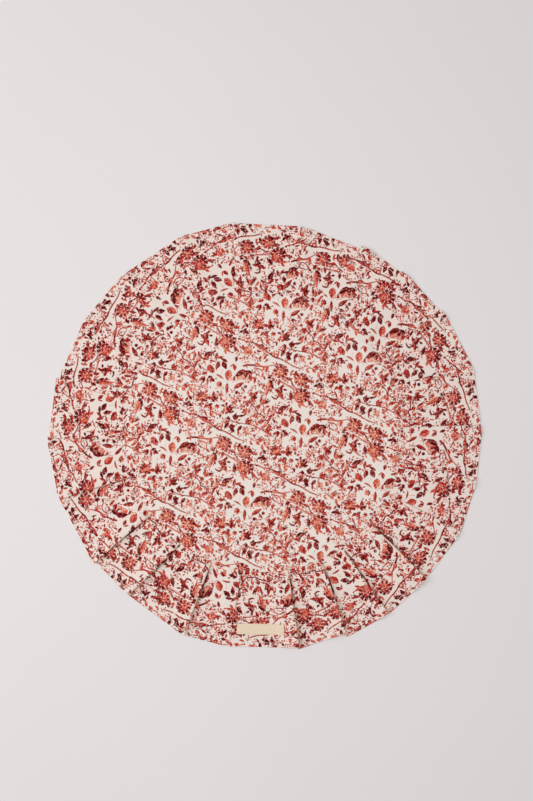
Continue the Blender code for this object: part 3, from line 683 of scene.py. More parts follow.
def join_same_ink(points, corners, inks, ground, border):
    """Triangulates again along the lines between different inks only, without what lies under them.

    ground holds more points: the border's in order, as many as border says, then the open ground's.
    """
    beside = straighten(points, ink_lines(points, corners, inks))
    place = {old: new for new, old in enumerate(beside)}
    lines = [(place[a], place[b]) for a in beside for b in beside[a] if a < b]
    lines += [(len(place) + i, len(place) + (i + 1) % border) for i in range(border)]
    both = np.concatenate([points[list(beside)], ground])
    made = delaunay_2d_cdt([Vector(p) for p in both], lines, [], 0, TOUCH, False)
    places, faces = np.array([tuple(p) for p in made[0]], float), np.array(made[2])
    tree = BVHTree.FromPolygons([(x, y, 0.0) for x, y in points], corners.tolist())
    down = Vector((0, 0, -1))
    hits = [tree.ray_cast(Vector((x, y, 1)), down)[2] for x, y in places[faces].mean(axis=1)]
    return places, faces, np.array([0 if hit is None else inks[hit] for hit in hits])


def match_borders(places, corners, ink, axis):
    """Gives the two opposite borders of the tile exactly the same points."""
    other, ends = 1 - axis, (0.0, REPEAT[axis])
    near = np.abs(places[:, axis, None] - ends).min(axis=1) < SNAP
    spots = np.unique(places[near, other])
    spots = spots[np.concatenate([[True], np.diff(spots) > MEET])]
    for end in ends:
        on = np.abs(places[:, axis] - end) < SNAP
        places[on, axis] = end
        index = np.flatnonzero(on)
        nearest = np.abs(places[index, other][:, None] - spots).argmin(axis=1)
        places[index, other] = spots[nearest]
        first = {spot: point for point, spot in zip(index[::-1], nearest[::-1])}
        rename = np.arange(len(places))
        rename[index] = [first[spot] for spot in nearest]
        corners = rename[corners]
        sound = whole_faces(corners) & ~on[corners].all(axis=1)
        corners, ink = corners[sound], ink[sound]
        for spot in sorted(set(range(len(spots))) - set(first)):
            for face in np.flatnonzero(on[corners].sum(axis=1) == 2):
                k = int(np.flatnonzero(~on[corners[face]])[0])
                apex, a, b = corners[face][[k, (k + 1) % 3, (k + 2) % 3]]
                low, high = sorted((places[a, other], places[b, other]))
                if low < spots[spot] < high:
                    added = np.zeros((1, 2))
                    added[0, axis], added[0, other] = end, spots[spot]
                    places, on = np.concatenate([places, added]), np.append(on, True)
                    corners[face] = (apex, a, len(places) - 1)
                    corners = np.concatenate([corners, [(apex, len(places) - 1, b)]])
                    ink = np.append(ink, ink[face])
                    break
    return places, corners, ink


def spread_print(tile, low, high):
    """Repeats the tile over a rectangle of cloth and joins the copies."""
    places, corners, ink = tile
    first, last = np.floor(low / REPEAT).astype(int), np.floor(high / REPEAT).astype(int)
    points, faces, inks = [], [], []
    for step in product(range(first[0], last[0] + 1), range(first[1], last[1] + 1)):
        faces.append(corners + len(places) * len(points))
        points.append(places + REPEAT * step)
        inks.append(ink)
    points, faces, inks = np.concatenate(points), np.concatenate(faces), np.concatenate(inks)
    _, kept, joined = np.unique(np.round(points, 3), axis=0, return_index=True, return_inverse=True)
    faces = joined.reshape(-1)[faces]
    whole = whole_faces(faces)
    return points[kept], faces[whole], inks[whole]


def triangle_edges(corners):
    return corners[:, [[0, 1], [1, 2], [2, 0]]].reshape(-1, 2)


def whole_faces(corners):
    """Which triangles have three different corners."""
    return (corners != np.roll(corners, 1, axis=1)).all(axis=1)


def keep_faces(points, corners, inks, kept):
    """Keeps some of the triangles, and the points that they use."""
    used, corners = np.unique(corners[kept], return_inverse=True)
    return points[used], corners.reshape(-1, 3), inks[kept]


def keep_inside(points, corners, inks, column):
    """Keeps the triangles that lie where that column of the points is positive."""
    return keep_faces(points, corners, inks, points[corners][:, :, column].mean(axis=1) > 0)


def cut(points, corners, inks, column, level=0.0):
    """Splits the triangles that a line crosses. The line is where that column is at level."""
    points = points.copy()
    points[:, column] -= level
    points[np.abs(points[:, column]) < SNAP, column] = 0
    value = points[:, column]
    edges = np.sort(triangle_edges(corners), axis=1)
    crossed = np.sign(value[edges[:, 0]]) * np.sign(value[edges[:, 1]]) < 0
    pairs, index = np.unique(edges[crossed], axis=0, return_inverse=True)
    a, b = pairs.T
    share = (value[a] / (value[a] - value[b]))[:, None]
    added = points[a] + (points[b] - points[a]) * share
    added[:, column] = 0
    split = np.full(len(edges), -1)
    split[crossed] = len(points) + index.reshape(-1)
    split = split.reshape(-1, 3)
    count = (split >= 0).sum(axis=1)
    made, made_inks = [corners[count == 0]], [inks[count == 0]]
    for k in range(3):
        after, before = (k + 1) % 3, (k + 2) % 3
        once = (count == 1) & (split[:, k] >= 0)
        a, b, c = corners[once][:, [k, after, before]].T
        m = split[once, k]
        twice = (count == 2) & (split[:, after] < 0)
        d, e, f = corners[twice][:, [k, after, before]].T
        n, o = split[twice, k], split[twice, before]
        made += [np.stack(face, axis=1) for face in ((a, m, c), (m, b, c), (d, n, o), (n, e, f), (n, f, o))]
        made_inks += [inks[once]] * 2 + [inks[twice]] * 3
    points = np.concatenate([points, added])
    points[:, column] += level
    return points, np.concatenate(made), np.concatenate(made_inks)


def cloth_border(corners):
    """The points on a cloth's border, and its directed edges as pairs of places in that row."""
    edges = triangle_edges(corners)
    whole = corners.max() + 1
    key, back = edges[:, 0] * whole + edges[:, 1], edges[:, 1] * whole + edges[:, 0]
    ring, places = np.unique(edges[~np.isin(key, back)], return_inverse=True)
    return ring, places.reshape(-1, 2)


def size(key):
    """A size from the sidebar, in millimetres."""
    return getattr(bpy.context.scene.placemat_sizes, key) / MM


def colour(key):
    """A colour from the sidebar, opaque."""
    return (*getattr(bpy.context.scene.placemat_colours, key), 1.0)


def mix(start, end, t):
    return start + (end - start) * t


def smooth(t):
    """0 to 1 with level ends."""
    t = np.clip(t, 0, 1)
    return t * t * (3 - 2 * t)


def direction(degrees):
    """Unit vectors on the table that clockwise angles from +Y point along."""
    turn = np.radians(degrees)
    return np.stack([np.sin(turn), np.cos(turn)], axis=-1)


def bearing(flat):
    """Clockwise angles from +Y of places on the table, in degrees."""
    return np.degrees(np.arctan2(flat[..., 0], flat[..., 1])) % 360


def at_height(flat, height):
    """Points in space: places on the table, each at its height."""
    return np.concatenate([flat, np.broadcast_to(height, len(flat))[:, None]], axis=1)


# In what follows, out is the share of the way from the seam to the rim.


def ring_radius(out):
    return mix(FRILL_START, USUAL_RIM, out)


def fold_at(pleat, out):
    """Where the visible fold lies, in degrees."""
    return mix(pleat.seam_at, pleat.rim_at, out)


def fold_height(pleat, out):
    """Height of the cloth's middle along a visible fold: a curve through both lifts."""
    middle, rim = pleat.mid_lift, pleat.rim_lift
    return STACKED + (4 * middle - rim) * out + (2 * rim - 4 * middle) * out * out


def tuck(pleat, out):
    """How much cloth the fold hides."""
    return mix(pleat.seam_tuck, pleat.rim_tuck, out)


def rim_radius(pleat, degrees):
    """Distance from the middle to the straight outer edge of the panel after a fold."""
    return pleat.reach / np.cos(np.radians(degrees - pleat.faces))


def beside_panel(number):
    """The pleats on both sides of a flat panel: its own and the next one."""
    return PLEATS[number], PLEATS[(number + 1) % len(PLEATS)]


def past_fold(number, owner, flat):
    """(along, out) of flat points, where along is the clockwise distance from a fold.

    owner is the pleat whose rim they belong to.
    """
    degrees = bearing(flat)
    radius = np.linalg.norm(flat, axis=-1)
    out = (radius - FRILL_START) / (rim_radius(PLEATS[owner], degrees) - FRILL_START)
    turn = (degrees - fold_at(PLEATS[number], out) + 180) % 360 - 180
    return np.radians(turn) * ring_radius(out), out


def top_height(number, along, out):
    """Height of the cloth's middle on the panel after a fold, along millimetres past that fold."""
    pleat, following = beside_panel(number)
    room = np.radians((fold_at(following, out) - fold_at(pleat, out)) % 360) * ring_radius(out)
    fall = np.clip(room - tuck(pleat, out) - CREASE_CLEAR - FALL_CLEAR, FALL_LEAST, FALL)
    shelf = tuck(pleat, out) + CREASE_CLEAR
    on_shelf = mix(fold_height(pleat, out), STACKED, smooth(along / shelf))
    return np.where(along <= shelf, on_shelf, mix(STACKED, GROUND, smooth((along - shelf) / fall)))


def settle(number, along, out, radius, height):
    """Presses the part's height at a place to what the dressed cloth shows."""
    both = beside_panel(number)
    here, there = (mix(CALM, 1.0, smooth((p.mid_lift + p.rim_lift) / OPEN_LIFT)) for p in both)
    room = np.radians((both[1].seam_at - both[0].seam_at) % 360) * ring_radius(out)
    share = mix(here, there, smooth(along / room))
    share = mix(AT_SEAM, share, smooth((radius - FRILL_START) / PRESSED))
    return GROUND_SEEN + (height - GROUND) * share


def unevenness(flat):
    """The cloth never lies dead flat: low waves, more of them towards the rim."""
    x, y = flat[..., 0], flat[..., 1]
    radius, turn = np.hypot(x, y), np.radians(bearing(flat))
    # Two long waves and a ripple cross the mat, and two waves run round it. Each sum has the heights
    # of its waves added to it, so that they only lift the cloth.
    waves = np.sin(0.061 * x + 0.043 * y + 1.0) + 0.8 * np.sin(0.035 * x - 0.088 * y + 2.2)
    waves += 0.5 * np.sin(0.16 * x + 0.05 * y) * np.sin(0.13 * y - 0.04 * x + 0.6)
    lift = np.sin(31 * turn + 1.3) + 0.7 * np.sin(47 * turn + 0.4)
    outer = smooth((radius - RIM_WAVES_FROM) / RIM_WAVES_OVER)
    return WAVE_HEIGHT * (waves + 2.3) + RIM_WAVE_HEIGHT * (lift + 1.7) * outer


def hem(pleat, flat):
    """Extra height of the turned hem near a panel's straight outer edge."""
    inset = pleat.reach - flat @ direction(pleat.faces)
    return size("hem_step") * (1 - smooth((inset - size("hem_width")) / HEM_FALL))


class Sewing:
    """Collects the points and triangles of one piece of cloth."""

    def __init__(self):
        self.points, self.cloth, self.tones, self.rims, self.faces, self.inks = [], [], [], [], [], []
        self.count = 0

    def add_points(self, points, cloth, tones=(1.0, 1.0, 1.0), rim=-1.0):
        """Adds points (in the mat's own millimetres), their places on the flat cloth and their painted
        shade.

        rim is the distance from the hemmed edge, or less than 0 where no stitches show.
        """
        self.points.append(np.asarray(points, float).reshape(-1, 3))
        self.cloth.append(np.asarray(cloth, float).reshape(-1, 2))
        self.tones.append(np.broadcast_to(tones, self.points[-1].shape))
        self.rims.append(np.broadcast_to(rim, len(self.points[-1])))
        self.count += len(self.points[-1])
        return np.arange(self.count - len(self.points[-1]), self.count)

    def add_faces(self, faces, inks):
        faces = np.asarray(faces, int).reshape(-1, 3)
        self.faces.append(faces)
        self.inks.append(np.broadcast_to(inks, len(faces)))

    def add_walls(self, edges, upper, lower):
        """Closes the cloth's edge: upper and lower give each edge end's two points."""
        a, b = np.asarray(edges).T
        self.add_faces(np.stack([upper[b], upper[a], lower[a]], axis=1), EDGE)
        self.add_faces(np.stack([upper[b], lower[a], lower[b]], axis=1), EDGE)

    def collected(self):
        return self.points, self.cloth, self.tones, self.rims, self.faces, self.inks


def chain(edges):
    """The points of a row of directed edges, from its first to its last."""
    follow = {a: b for a, b in edges.tolist()}
    (start,) = set(follow) - set(follow.values())
    row = [start]
    while row[-1] in follow:
        row.append(follow[row[-1]])
    if len(row) != len(edges) + 1:
        raise RuntimeError("the cloth's edge is broken")
    return np.array(row)


def fill_loop(points, edges, inner):
    """Triangles between a loop of points and some inner points: corners index both in a row."""
    both = np.concatenate([points, inner])
    order = {a: b for a, b in edges}
    loops, left = [], set(order)
    while left:
        loop = [min(left)]
        left.discard(loop[0])
        while order[loop[-1]] != loop[0]:
            loop.append(order[loop[-1]])
            left.discard(loop[-1])
        loops.append(loop)
    made = delaunay_2d_cdt([Vector(p) for p in both], [], loops, 0, FINE_TOUCH, True)
    back = np.array([origin[0] if origin else -1 for origin in made[3]])
    corners = back[np.array([face for face, over in zip(made[2], made[5]) if over])]
    return corners[(corners >= 0).all(axis=1)]


def ink_colours(depth, lean):
    """A colour for each kind of face: the inks in order, and FOLDED, BACK and EDGE from the end.

    depth has the inks' share and power for red, green and blue, and the bare cloth's share: for the frill
    they paint shade into both, deeper than on the panel, for its layers and folds. The alpha is 1 where
    there is ink, and elsewhere it says how thickly small leaves are strewn.
    """
    share, power, bare_share = np.array(depth)
    pure = np.array([colour(key)[:3] for key in ("blush", "shell", "coral", "brick", "maroon")])
    deeper = mix(pure, np.concatenate([pure[1:], pure[-1:]]), lean) ** power * share
    inked = [[*ink, 1.0] for ink in deeper]
    ground = np.array(colour("ground")[:3]) * bare_share
    plain = [*colour("back")[:3], 0.0]
    return np.array([[*ground, 0.0], *inked, [*ground, FOLD_STREWN], plain, plain])


def baked_places(places, inks, inset):
    """Where each corner of the triangles lies on OFBake, the map for baked colours.

    The chart's faces have full size there. The rest of the cloth lies mirrored round inset[1:], at the
    scale inset[0], and the cloth inside the folds lies in the middle of that, smaller again.
    """
    reach = np.abs(places).max() * MAP_SPAN
    small = places * (-inset[0], inset[0]) / reach + inset[1:]
    smaller = places * inset[0] ** 2 / reach + inset[1:]
    kinds = [np.repeat(kind, 3)[:, None] for kind in (inks >= 0, inks == FOLDED)]
    return np.select(kinds, (places / reach + 0.5, smaller), small)


def build_mesh(name, sewing, material, inset, depth=PLAIN_DEPTH, lean=0.0):
    """The finished object: in metres, shaded smooth, with ink colours and two maps."""
    points, cloth, tones, rims, faces, inks = (np.concatenate(rows) for rows in sewing.collected())
    points[:, :2] += AXIS
    _, once = np.unique(np.sort(faces, axis=1), axis=0, return_index=True)
    kept = whole_faces(faces) & np.isin(np.arange(len(faces)), once)
    faces, inks = faces[kept], inks[kept]
    corners = faces.ravel()
    mesh = bpy.data.meshes.new(name)
    mesh.vertices.add(len(points))
    mesh.vertices.foreach_set("co", (points * MM).ravel())
    mesh.loops.add(len(corners))
    mesh.loops.foreach_set("vertex_index", corners)
    mesh.polygons.add(len(faces))
    mesh.polygons.foreach_set("loop_start", np.arange(len(faces)) * 3)
    mesh.update(calc_edges=True)
    painted = ink_colours(depth, lean)[np.repeat(inks, 3)]
    # the colours take the painted shade at the folds
    painted[:, :3] *= tones[corners]
    bare = np.repeat(inks == 0, 3)
    painted[bare, 3] = thicket_share(cloth[corners[bare]])
    ink = mesh.attributes.new("ink", "FLOAT_COLOR", "CORNER")
    ink.data.foreach_set("color", painted.ravel())
    rim = mesh.attributes.new("rim", "FLOAT", "POINT")
    rim.data.foreach_set("value", rims.astype(np.float32))
    weave = mesh.uv_layers.new(name="cloth")
    weave.uv.foreach_set("vector", (cloth[corners] / CLOTH_UNIT).ravel())
    layout = mesh.uv_layers.new(name="OFBake")
    layout.uv.foreach_set("vector", baked_places(points[corners, :2] - AXIS, inks, inset).ravel())
    mesh.materials.append(material)
    if mesh.validate():
        raise RuntimeError(f"{name}: the mesh has faults")
    mesh.shade_smooth()
    mesh.set_sharp_from_angle(angle=math.radians(SHARP_ANGLE))
    made = bpy.data.objects.new(name, mesh)
    bpy.context.collection.objects.link(made)
    return made


def make_centre_panel(tile):
    """The round printed panel, domed over the seam allowance and puckered at the seam."""
    axes = np.array([PANEL_U, PANEL_V]) * PANEL_REPEAT[:, None] / REPEAT[:, None]
    reach = np.full(2, SEAM_RADIUS * SPARE_CLOTH)
    points, corners, inks = spread_print(tile, -reach, reach)
    flat = points @ axes
    inside = SEAM_RADIUS - np.linalg.norm(flat, axis=1)
    piece = (np.concatenate([flat, inside[:, None], points], axis=1), corners, inks)
    for inset in (*PUCKER_ROWS, 0.0):
        piece = cut(*piece, 2, inset)
    points, corners, inks = keep_inside(*piece, 2)
    flat, cloth = points[:, :2], points[:, 3:]
    edge = points[:, 2] == 0
    flat[edge] *= (SEAM_RADIUS / np.linalg.norm(flat[edge], axis=1))[:, None]
    sewing = Sewing()
    upper = sewing.add_points(at_height(flat, panel_top(flat)), cloth)
    sewing.add_faces(upper[corners], inks)
    ring, edges = cloth_border(corners)
    inner = np.concatenate([direction(np.arange(0, 360, 360 / n)) * r for r, n in BELOW_RINGS])
    below = np.concatenate([flat[ring], inner])
    lower = sewing.add_points(at_height(below, 0.0), below)
    sewing.add_faces(lower[fill_loop(flat[ring], edges, inner)][:, ::-1], BACK)
    sewing.add_walls(edges, upper[ring], lower)
    return sewing


def seam_height(degrees):
    """Height of the frill's upper face where it meets the panel, evened out along the seam."""
    starts = np.array([pleat.seam_at for pleat in PLEATS])
    turns = np.arange(0, 360, 0.5)
    heights = []
    for turn in turns:
        number = int(np.argmin((turn - starts) % 360))
        along = np.radians((turn - starts[number]) % 360) * FRILL_START
        height = top_height(number, along, 0.0)
        heights.append(float(settle(number, along, 0.0, FRILL_START, height)) + size("sheet") / 2)
    ends = np.concatenate([heights[-4:], heights, heights[:4]])
    heights = np.convolve(ends, np.full(5, 0.2), "same")[4:-4]  # each is the mean of five
    return np.interp(degrees, turns, heights, period=360)


def panel_top(flat):
    """Height of the panel's upper face."""
    radius, turn = np.linalg.norm(flat, axis=1), np.radians(bearing(flat))
    inset = SEAM_RADIUS - radius
    edge = mix(seam_height(bearing(flat)) + SEAM_STEP, PANEL_RIDGE, smooth(inset / RIDGE_INSET))
    middle = mix(PANEL_RIDGE, PANEL_MIDDLE, smooth((inset - RIDGE_INSET) / RIDGE_WIDTH))
    # Two sets of small waves round the seam, each wider in some places than in others
    gathers = np.sin(61 * turn + 2 * np.sin(5 * turn)) + 0.6 * np.sin(97 * turn + 1.7 * np.sin(3 * turn))
    fade = smooth(1 - inset / PUCKER_REACH) * smooth(inset / 0.8 + 0.3)
    section = np.where(inset < RIDGE_INSET, edge, middle)
    return section + size("gathers") * gathers * fade + unevenness(flat) - PANEL_LOWERED


def strip_phases():
    """Where the print lies on each flat panel: the thread's direction, and u and v at the mat's middle.

    The strip runs on under every fold, so each panel's print follows from the length hidden so far.
    """
    phases = [None] * len(PLEATS)
    edge = None
    for step in range(len(PLEATS)):
        number = (JOIN + step) % len(PLEATS)
        pleat, following = beside_panel(number)
        thread = pleat.faces - THREAD_LEAN
        along = np.array([math.cos(math.radians(thread)), -math.sin(math.radians(thread))])
        left, right = (direction(p.seam_at) @ along * FRILL_START for p in (pleat, following))
        u = JOIN_U if edge is None else edge + 2 * pleat.seam_tuck - left
        phases[number] = (thread, u, HEM_LINE - pleat.reach)
        edge = u + right
    return phases


def lay_panel(number, flat, side):
    """Points in space of a flat panel's upper (side 1) or lower (side -1) face, its fold included."""
    pleat = PLEATS[number]
    along, out = past_fold(number, number, flat)
    past = np.maximum(along, 0)
    turn = np.clip(-along / CREASE_RADIUS, 0, None)  # how far the cloth has turned round its fold
    over = CREASE_RADIUS * (1 - np.cos(turn))
    push = side * size("sheet") / 2
    shift = np.where(along < 0, -CREASE_RADIUS * np.sin(turn), along) - push * np.sin(turn)
    radius = np.linalg.norm(flat, axis=-1)
    height = settle(number, past, out, radius, top_height(number, past, out) - over)
    height = height + push * np.cos(turn) + unevenness(flat)
    height = height + np.where(turn > 0, 0, hem(pleat, flat) * (side > 0)) * smooth(past / 2)
    radius = radius - corner_draw(past, out)
    degrees = fold_at(pleat, out) + np.degrees(shift / ring_radius(out))
    return at_height(direction(degrees) * radius[:, None], height), out


def corner_draw(along, out):
    """How far in towards the middle the cloth lies near a fold's outer corner."""
    near_rim = smooth((out - CORNER_FROM) / (1 - CORNER_FROM))
    return CORNER_DRAW * (1 - smooth(along / CORNER_REACH)) * near_rim


def fold_profile(pleat, out):
    """Points (along, up, own) of the hidden layers from under the fold round to where the print starts.

    own is 0 for the rim of the panel before the fold and 1 for the rim of the panel after it.
    """
    depth, height = tuck(pleat, out), fold_height(pleat, out)
    rise = height - GROUND - 2 * CREASE_RADIUS
    turn = math.atan2(rise, -depth) + math.asin(min(1.0, 2 * CREASE_RADIUS / math.hypot(depth, rise)))

    def crease(angle, start, way, base):
        across = start + way * CREASE_RADIUS * math.sin(angle)
        return across, base + way * CREASE_RADIUS * (1 - math.cos(angle)), 1.0

    hidden = [crease(turn * i / CREASE_STEPS, depth, 1, GROUND) for i in range(CREASE_STEPS + 1)]
    visible = [crease(mix(turn, PRINT_WRAP, t), 0.0, -1, height) for t in (0.0, 0.5, 1.0)]
    halfway = tuple(mix(a, b, 0.5) for a, b in zip(hidden[-1], visible[0]))
    return [(0.0, GROUND, 0.0), (depth / 2, GROUND, 0.7), *hidden, halfway, *visible]


def fold_points(number, out, side):
    """Points in space of a fold's hidden layers at one row, without the two ends."""
    pleat, before = PLEATS[number], PLEATS[number - 1]
    profile = np.array(fold_profile(pleat, out))
    step = np.diff(profile[:, :2], axis=0)
    step /= np.linalg.norm(step, axis=1)[:, None]
    normals = np.stack([-step[:, 1], step[:, 0]], axis=1)
    corner = normals[:-1] + normals[1:]
    corner /= np.maximum((corner * normals[1:]).sum(axis=1), 0.5)[:, None]
    pushed = corner * side * size("sheet") / 2
    along, up, own = profile[1:-1].T
    degrees = fold_at(pleat, out) + np.degrees((along + pushed[:, 0]) / ring_radius(out))
    radius = mix(FRILL_START, mix(rim_radius(before, degrees), rim_radius(pleat, degrees), own), out)
    past = np.maximum(along, 0)
    height = settle(number, past, out, radius, up) + pushed[:, 1]
    height += unevenness(direction(degrees) * radius[:, None])
    radius = radius - corner_draw(past, out)
    return at_height(direction(degrees) * radius[:, None], height)


def zip_rows(first, first_out, second, second_out):
    """Triangles between two rows of points, the second one clockwise of the first."""
    i = j = 0
    faces = []
    while i < len(first) - 1 or j < len(second) - 1:
        if j == len(second) - 1 or (i < len(first) - 1 and first_out[i + 1] <= second_out[j + 1]):
            faces.append((first[i], second[j], first[i + 1]))
            i += 1
        else:
            faces.append((first[i], second[j], second[j + 1]))
            j += 1
    return np.array(faces)


def cut_panel(number, tile, phase):
    """The print on one flat panel, cut to its seam, its rim, its own fold and the next one.

    Columns: x, y, u, v, then the distances inside those four, which are SEAM, RIM, FOLD and NEXT.
    """
    pleat, following = PLEATS[number], (number + 1) % len(PLEATS)
    thread, *start = phase
    turn = math.radians(thread)
    axes = np.array([[math.cos(turn), -math.sin(turn)], [math.sin(turn), math.cos(turn)]])
    span = (PLEATS[following].rim_at - pleat.rim_at) % 360
    sector = pleat.rim_at + np.linspace(-SPARE_TURN, span + SPARE_TURN, 12)
    rough = np.concatenate([direction(sector) * r for r in (FRILL_START - 4, OUTERMOST)]) @ axes.T
    points, corners, inks = spread_print(tile, rough.min(0) + start, rough.max(0) + start)
    flat = (points - start) @ axes
    inside = [
        np.linalg.norm(flat, axis=1) - FRILL_START,
        pleat.reach - flat @ direction(pleat.faces),
        past_fold(number, number, flat)[0] + FOLD_SIDE,
        -past_fold(following, number, flat)[0],
    ]
    points = np.concatenate([flat, points, np.stack(inside, axis=1)], axis=1)
    near = (points[corners][:, :, SEAM:] > -HAIR).any(axis=1).all(axis=1)
    piece = keep_faces(points, corners, inks, near)
    for column in (SEAM, RIM, FOLD, NEXT):
        piece = keep_inside(*cut(*piece, column), column)
    lines = [(FOLD, FOLD_SIDE / 2), (FOLD, FOLD_SIDE)]
    # a raised next fold gets two more cuts, which edge the painted shade in the gap under it
    if lifted(PLEATS[following]) > 0:
        lines += [(NEXT, GAP_DARK), (NEXT, GAP_SHADE)]
    for column, line in lines:
        piece = cut(*piece, column, line)
    points, corners, inks = piece
    seam = points[:, SEAM] == 0
    points[seam, :2] *= (FRILL_START / np.linalg.norm(points[seam, :2], axis=1))[:, None]
    return points, corners, inks


def lifted(pleat):
    """0 for a fold that lies flat, 1 for one that stands open."""
    return smooth((pleat.mid_lift + pleat.rim_lift - FLAT_LIFT) / (OPEN_LIFT - FLAT_LIFT))


def fold_tones(number, points, out):
    """Painted shade at a panel's folds: how much darker its colours are made there.

    The shade is painted warm on the fold and in the gap under the next one, and deep in that gap
    towards the seam, where a raised fold stands open.
    """
    raised, raised_next = (lifted(pleat) for pleat in beside_panel(number))
    shade_on_fold = raised * (1 - smooth((points[:, FOLD] - FOLD_SIDE * 0.6) / (FOLD_SIDE * 0.6)))
    near_next = np.clip((GAP_SHADE - points[:, NEXT]) / (GAP_SHADE - GAP_DARK), 0, 1)
    shade_in_gap = raised_next * near_next * smooth(out / 0.08)
    shade_in_gap *= mix(GAP_LEAST, 1.0, smooth(0.5 + 0.8 * np.sin(GAP_WAVES * out + 2.4 * number)))
    deep = shade_in_gap * smooth((out - 0.06) / 0.1) * (1 - smooth((out - 0.40) / 0.22))
    tones = np.ones((len(points), 3))
    for tone, share in ((FOLD_PAINTED_SHADE, shade_on_fold), (GAP_PAINTED_SHADE, shade_in_gap), (DEEP_PAINTED_SHADE, deep)):
        tones *= mix(1.0, np.array(tone), share[:, None])
    return tones


def panel_inner_points(number):
    """A few points for the lower face of a flat panel, which needs no print."""
    pleat, following = beside_panel(number)
    places = []
    for out in np.linspace(0.08, 0.92, 6):
        here, there = fold_at(pleat, out), fold_at(following, out)
        for share in np.linspace(0.02, 0.97, 7):
            degrees = here + (there - here) % 360 * share
            places.append(direction(degrees) * mix(FRILL_START, rim_radius(pleat, degrees), out))
    return np.array(places)


def sew_panel(sewing, number, tile, phase):
    """Adds one flat panel to the strip.

    Returns its points along its own fold and along the next one: upper ones, lower ones and their out.
    """
    points, corners, inks = cut_panel(number, tile, phase)
    flat, cloth = points[:, :2], points[:, 2:4]
    place, out = lay_panel(number, flat, 1)
    # the upper face carries painted shade at its folds
    upper = sewing.add_points(place, cloth, fold_tones(number, points, out), points[:, RIM])
    sewing.add_faces(upper[corners], inks)
    ring, edges = cloth_border(corners)
    inner = panel_inner_points(number)
    below, _ = lay_panel(number, np.concatenate([flat[ring], inner]), -1)
    lower = sewing.add_points(below, np.concatenate([cloth[ring], inner]))
    sewing.add_faces(lower[fill_loop(flat[ring], edges, inner)][:, ::-1], BACK)
    joined = [(points[ring, column] == 0)[edges].all(axis=1) for column in (FOLD, NEXT)]
    sewing.add_walls(edges[~(joined[0] | joined[1])], upper[ring], lower)
    rows = []
    for side in joined:
        row = chain(edges[side])
        row = row if out[ring[row[0]]] < out[ring[row[-1]]] else row[::-1]
        rows.append((upper[ring[row]], lower[row], out[ring[row]]))
    return rows


def sew_fold(sewing, number, first, last):
    """Adds a fold's hidden layers between the rows of points first and last, as sew_panel gives them."""
    outs = np.linspace(0, 1, FOLD_ROWS)
    layers = []
    for face, side in enumerate((1, -1)):
        grid = np.array([fold_points(number, out, side) for out in outs])
        wide = grid.shape[1]
        grid = grid.reshape(-1, 3)
        inset = np.repeat(1 - outs, wide) * (USUAL_RIM - FRILL_START) if side > 0 else -1.0
        index = sewing.add_points(grid, grid[:, :2], rim=inset).reshape(-1, wide)
        columns = [(first[face], first[2]), *((row, outs) for row in index.T), (last[face], last[2])]
        faces = np.concatenate([zip_rows(*a, *b) for a, b in zip(columns, columns[1:])])
        sewing.add_faces(faces[:, ::side], FOLDED if side > 0 else BACK)
        layers.append([column for column, _ in columns])
    for above, below in zip(*(zip(layer, layer[1:]) for layer in layers)):
        for end, edge in ((0, (0, 1)), (-1, (1, 0))):
            upper, lower = (np.array([column[end] for column in pair]) for pair in (above, below))
            sewing.add_walls([edge], upper, lower)


def make_frill(tile):
    """The pleated strip: printed flat panels, and hidden layers that join each to the next."""
    sewing = Sewing()
    rows = [sew_panel(sewing, number, tile, phase) for number, phase in enumerate(strip_phases())]
    for number in range(len(PLEATS)):
        sew_fold(sewing, number, rows[number - 1][1], rows[number][0])
    return sewing


def label_place(column, row):
    """A place on the label: column and row go from 0 to 1 along it and across it."""
    turn = math.radians(LABEL_TURN)
    along = np.array([math.cos(turn), math.sin(turn)])
    across = np.array([-math.sin(turn), math.cos(turn)])
    lean = LABEL_SLANT * (row - 0.5) * (1 - column)
    place = direction(LABEL_AT) * LABEL_OUT + along * (size("label_length") * (column - 0.5) + lean)
    return place + across * size("label_width") * (row - 0.5)


def make_label():
    """The bare woven tape: a thin strip that follows the cloth, its ends turned under."""
    length, width = size("label_length"), size("label_width")
    number = max(i for i, pleat in enumerate(PLEATS) if pleat.seam_at < LABEL_AT)
    us, vs = (np.linspace(0, 1, count + 1) for count in (LABEL_COLUMNS, LABEL_ROWS))
    places = np.array([label_place(u, v) for v in vs for u in us])
    cloth = np.array([(u * length, v * width) for v in vs for u in us])
    along, out = past_fold(number, number, places)
    bed = settle(number, along, out, np.linalg.norm(places, axis=1), top_height(number, along, out))
    bed = bed + unevenness(places) + size("sheet") / 2 + LABEL_LIFT
    inset = np.minimum(cloth[:, 0], length - cloth[:, 0])
    side = np.minimum(cloth[:, 1], width - cloth[:, 1])
    turned = LABEL_FOLD * (1 - smooth((inset - LABEL_TURNED) / 1.0)) * smooth(inset / 0.6 + 0.2)
    stitched = LABEL_DIP * np.exp(-(((inset - LABEL_STITCHED) / 0.5) ** 2))
    rounding = LABEL_ROUND * (1 - smooth(np.minimum(inset, side) / 0.7))
    top = bed + size("label_thickness") + turned - stitched - rounding
    sewing = Sewing()
    upper = sewing.add_points(at_height(places, top), cloth)
    lower = sewing.add_points(at_height(places, bed), cloth)
    index = np.arange(len(places)).reshape(len(vs), len(us))
    a, b, c, d = index[:-1, :-1], index[:-1, 1:], index[1:, 1:], index[1:, :-1]
    corners = np.stack([a, b, c, a, c, d], axis=-1).reshape(-1, 3)
    sewing.add_faces(upper[corners], 0)
    sewing.add_faces(lower[corners][:, ::-1], 0)
    ring, edges = cloth_border(corners)
    sewing.add_walls(edges, upper[ring], lower[ring])
    return sewing


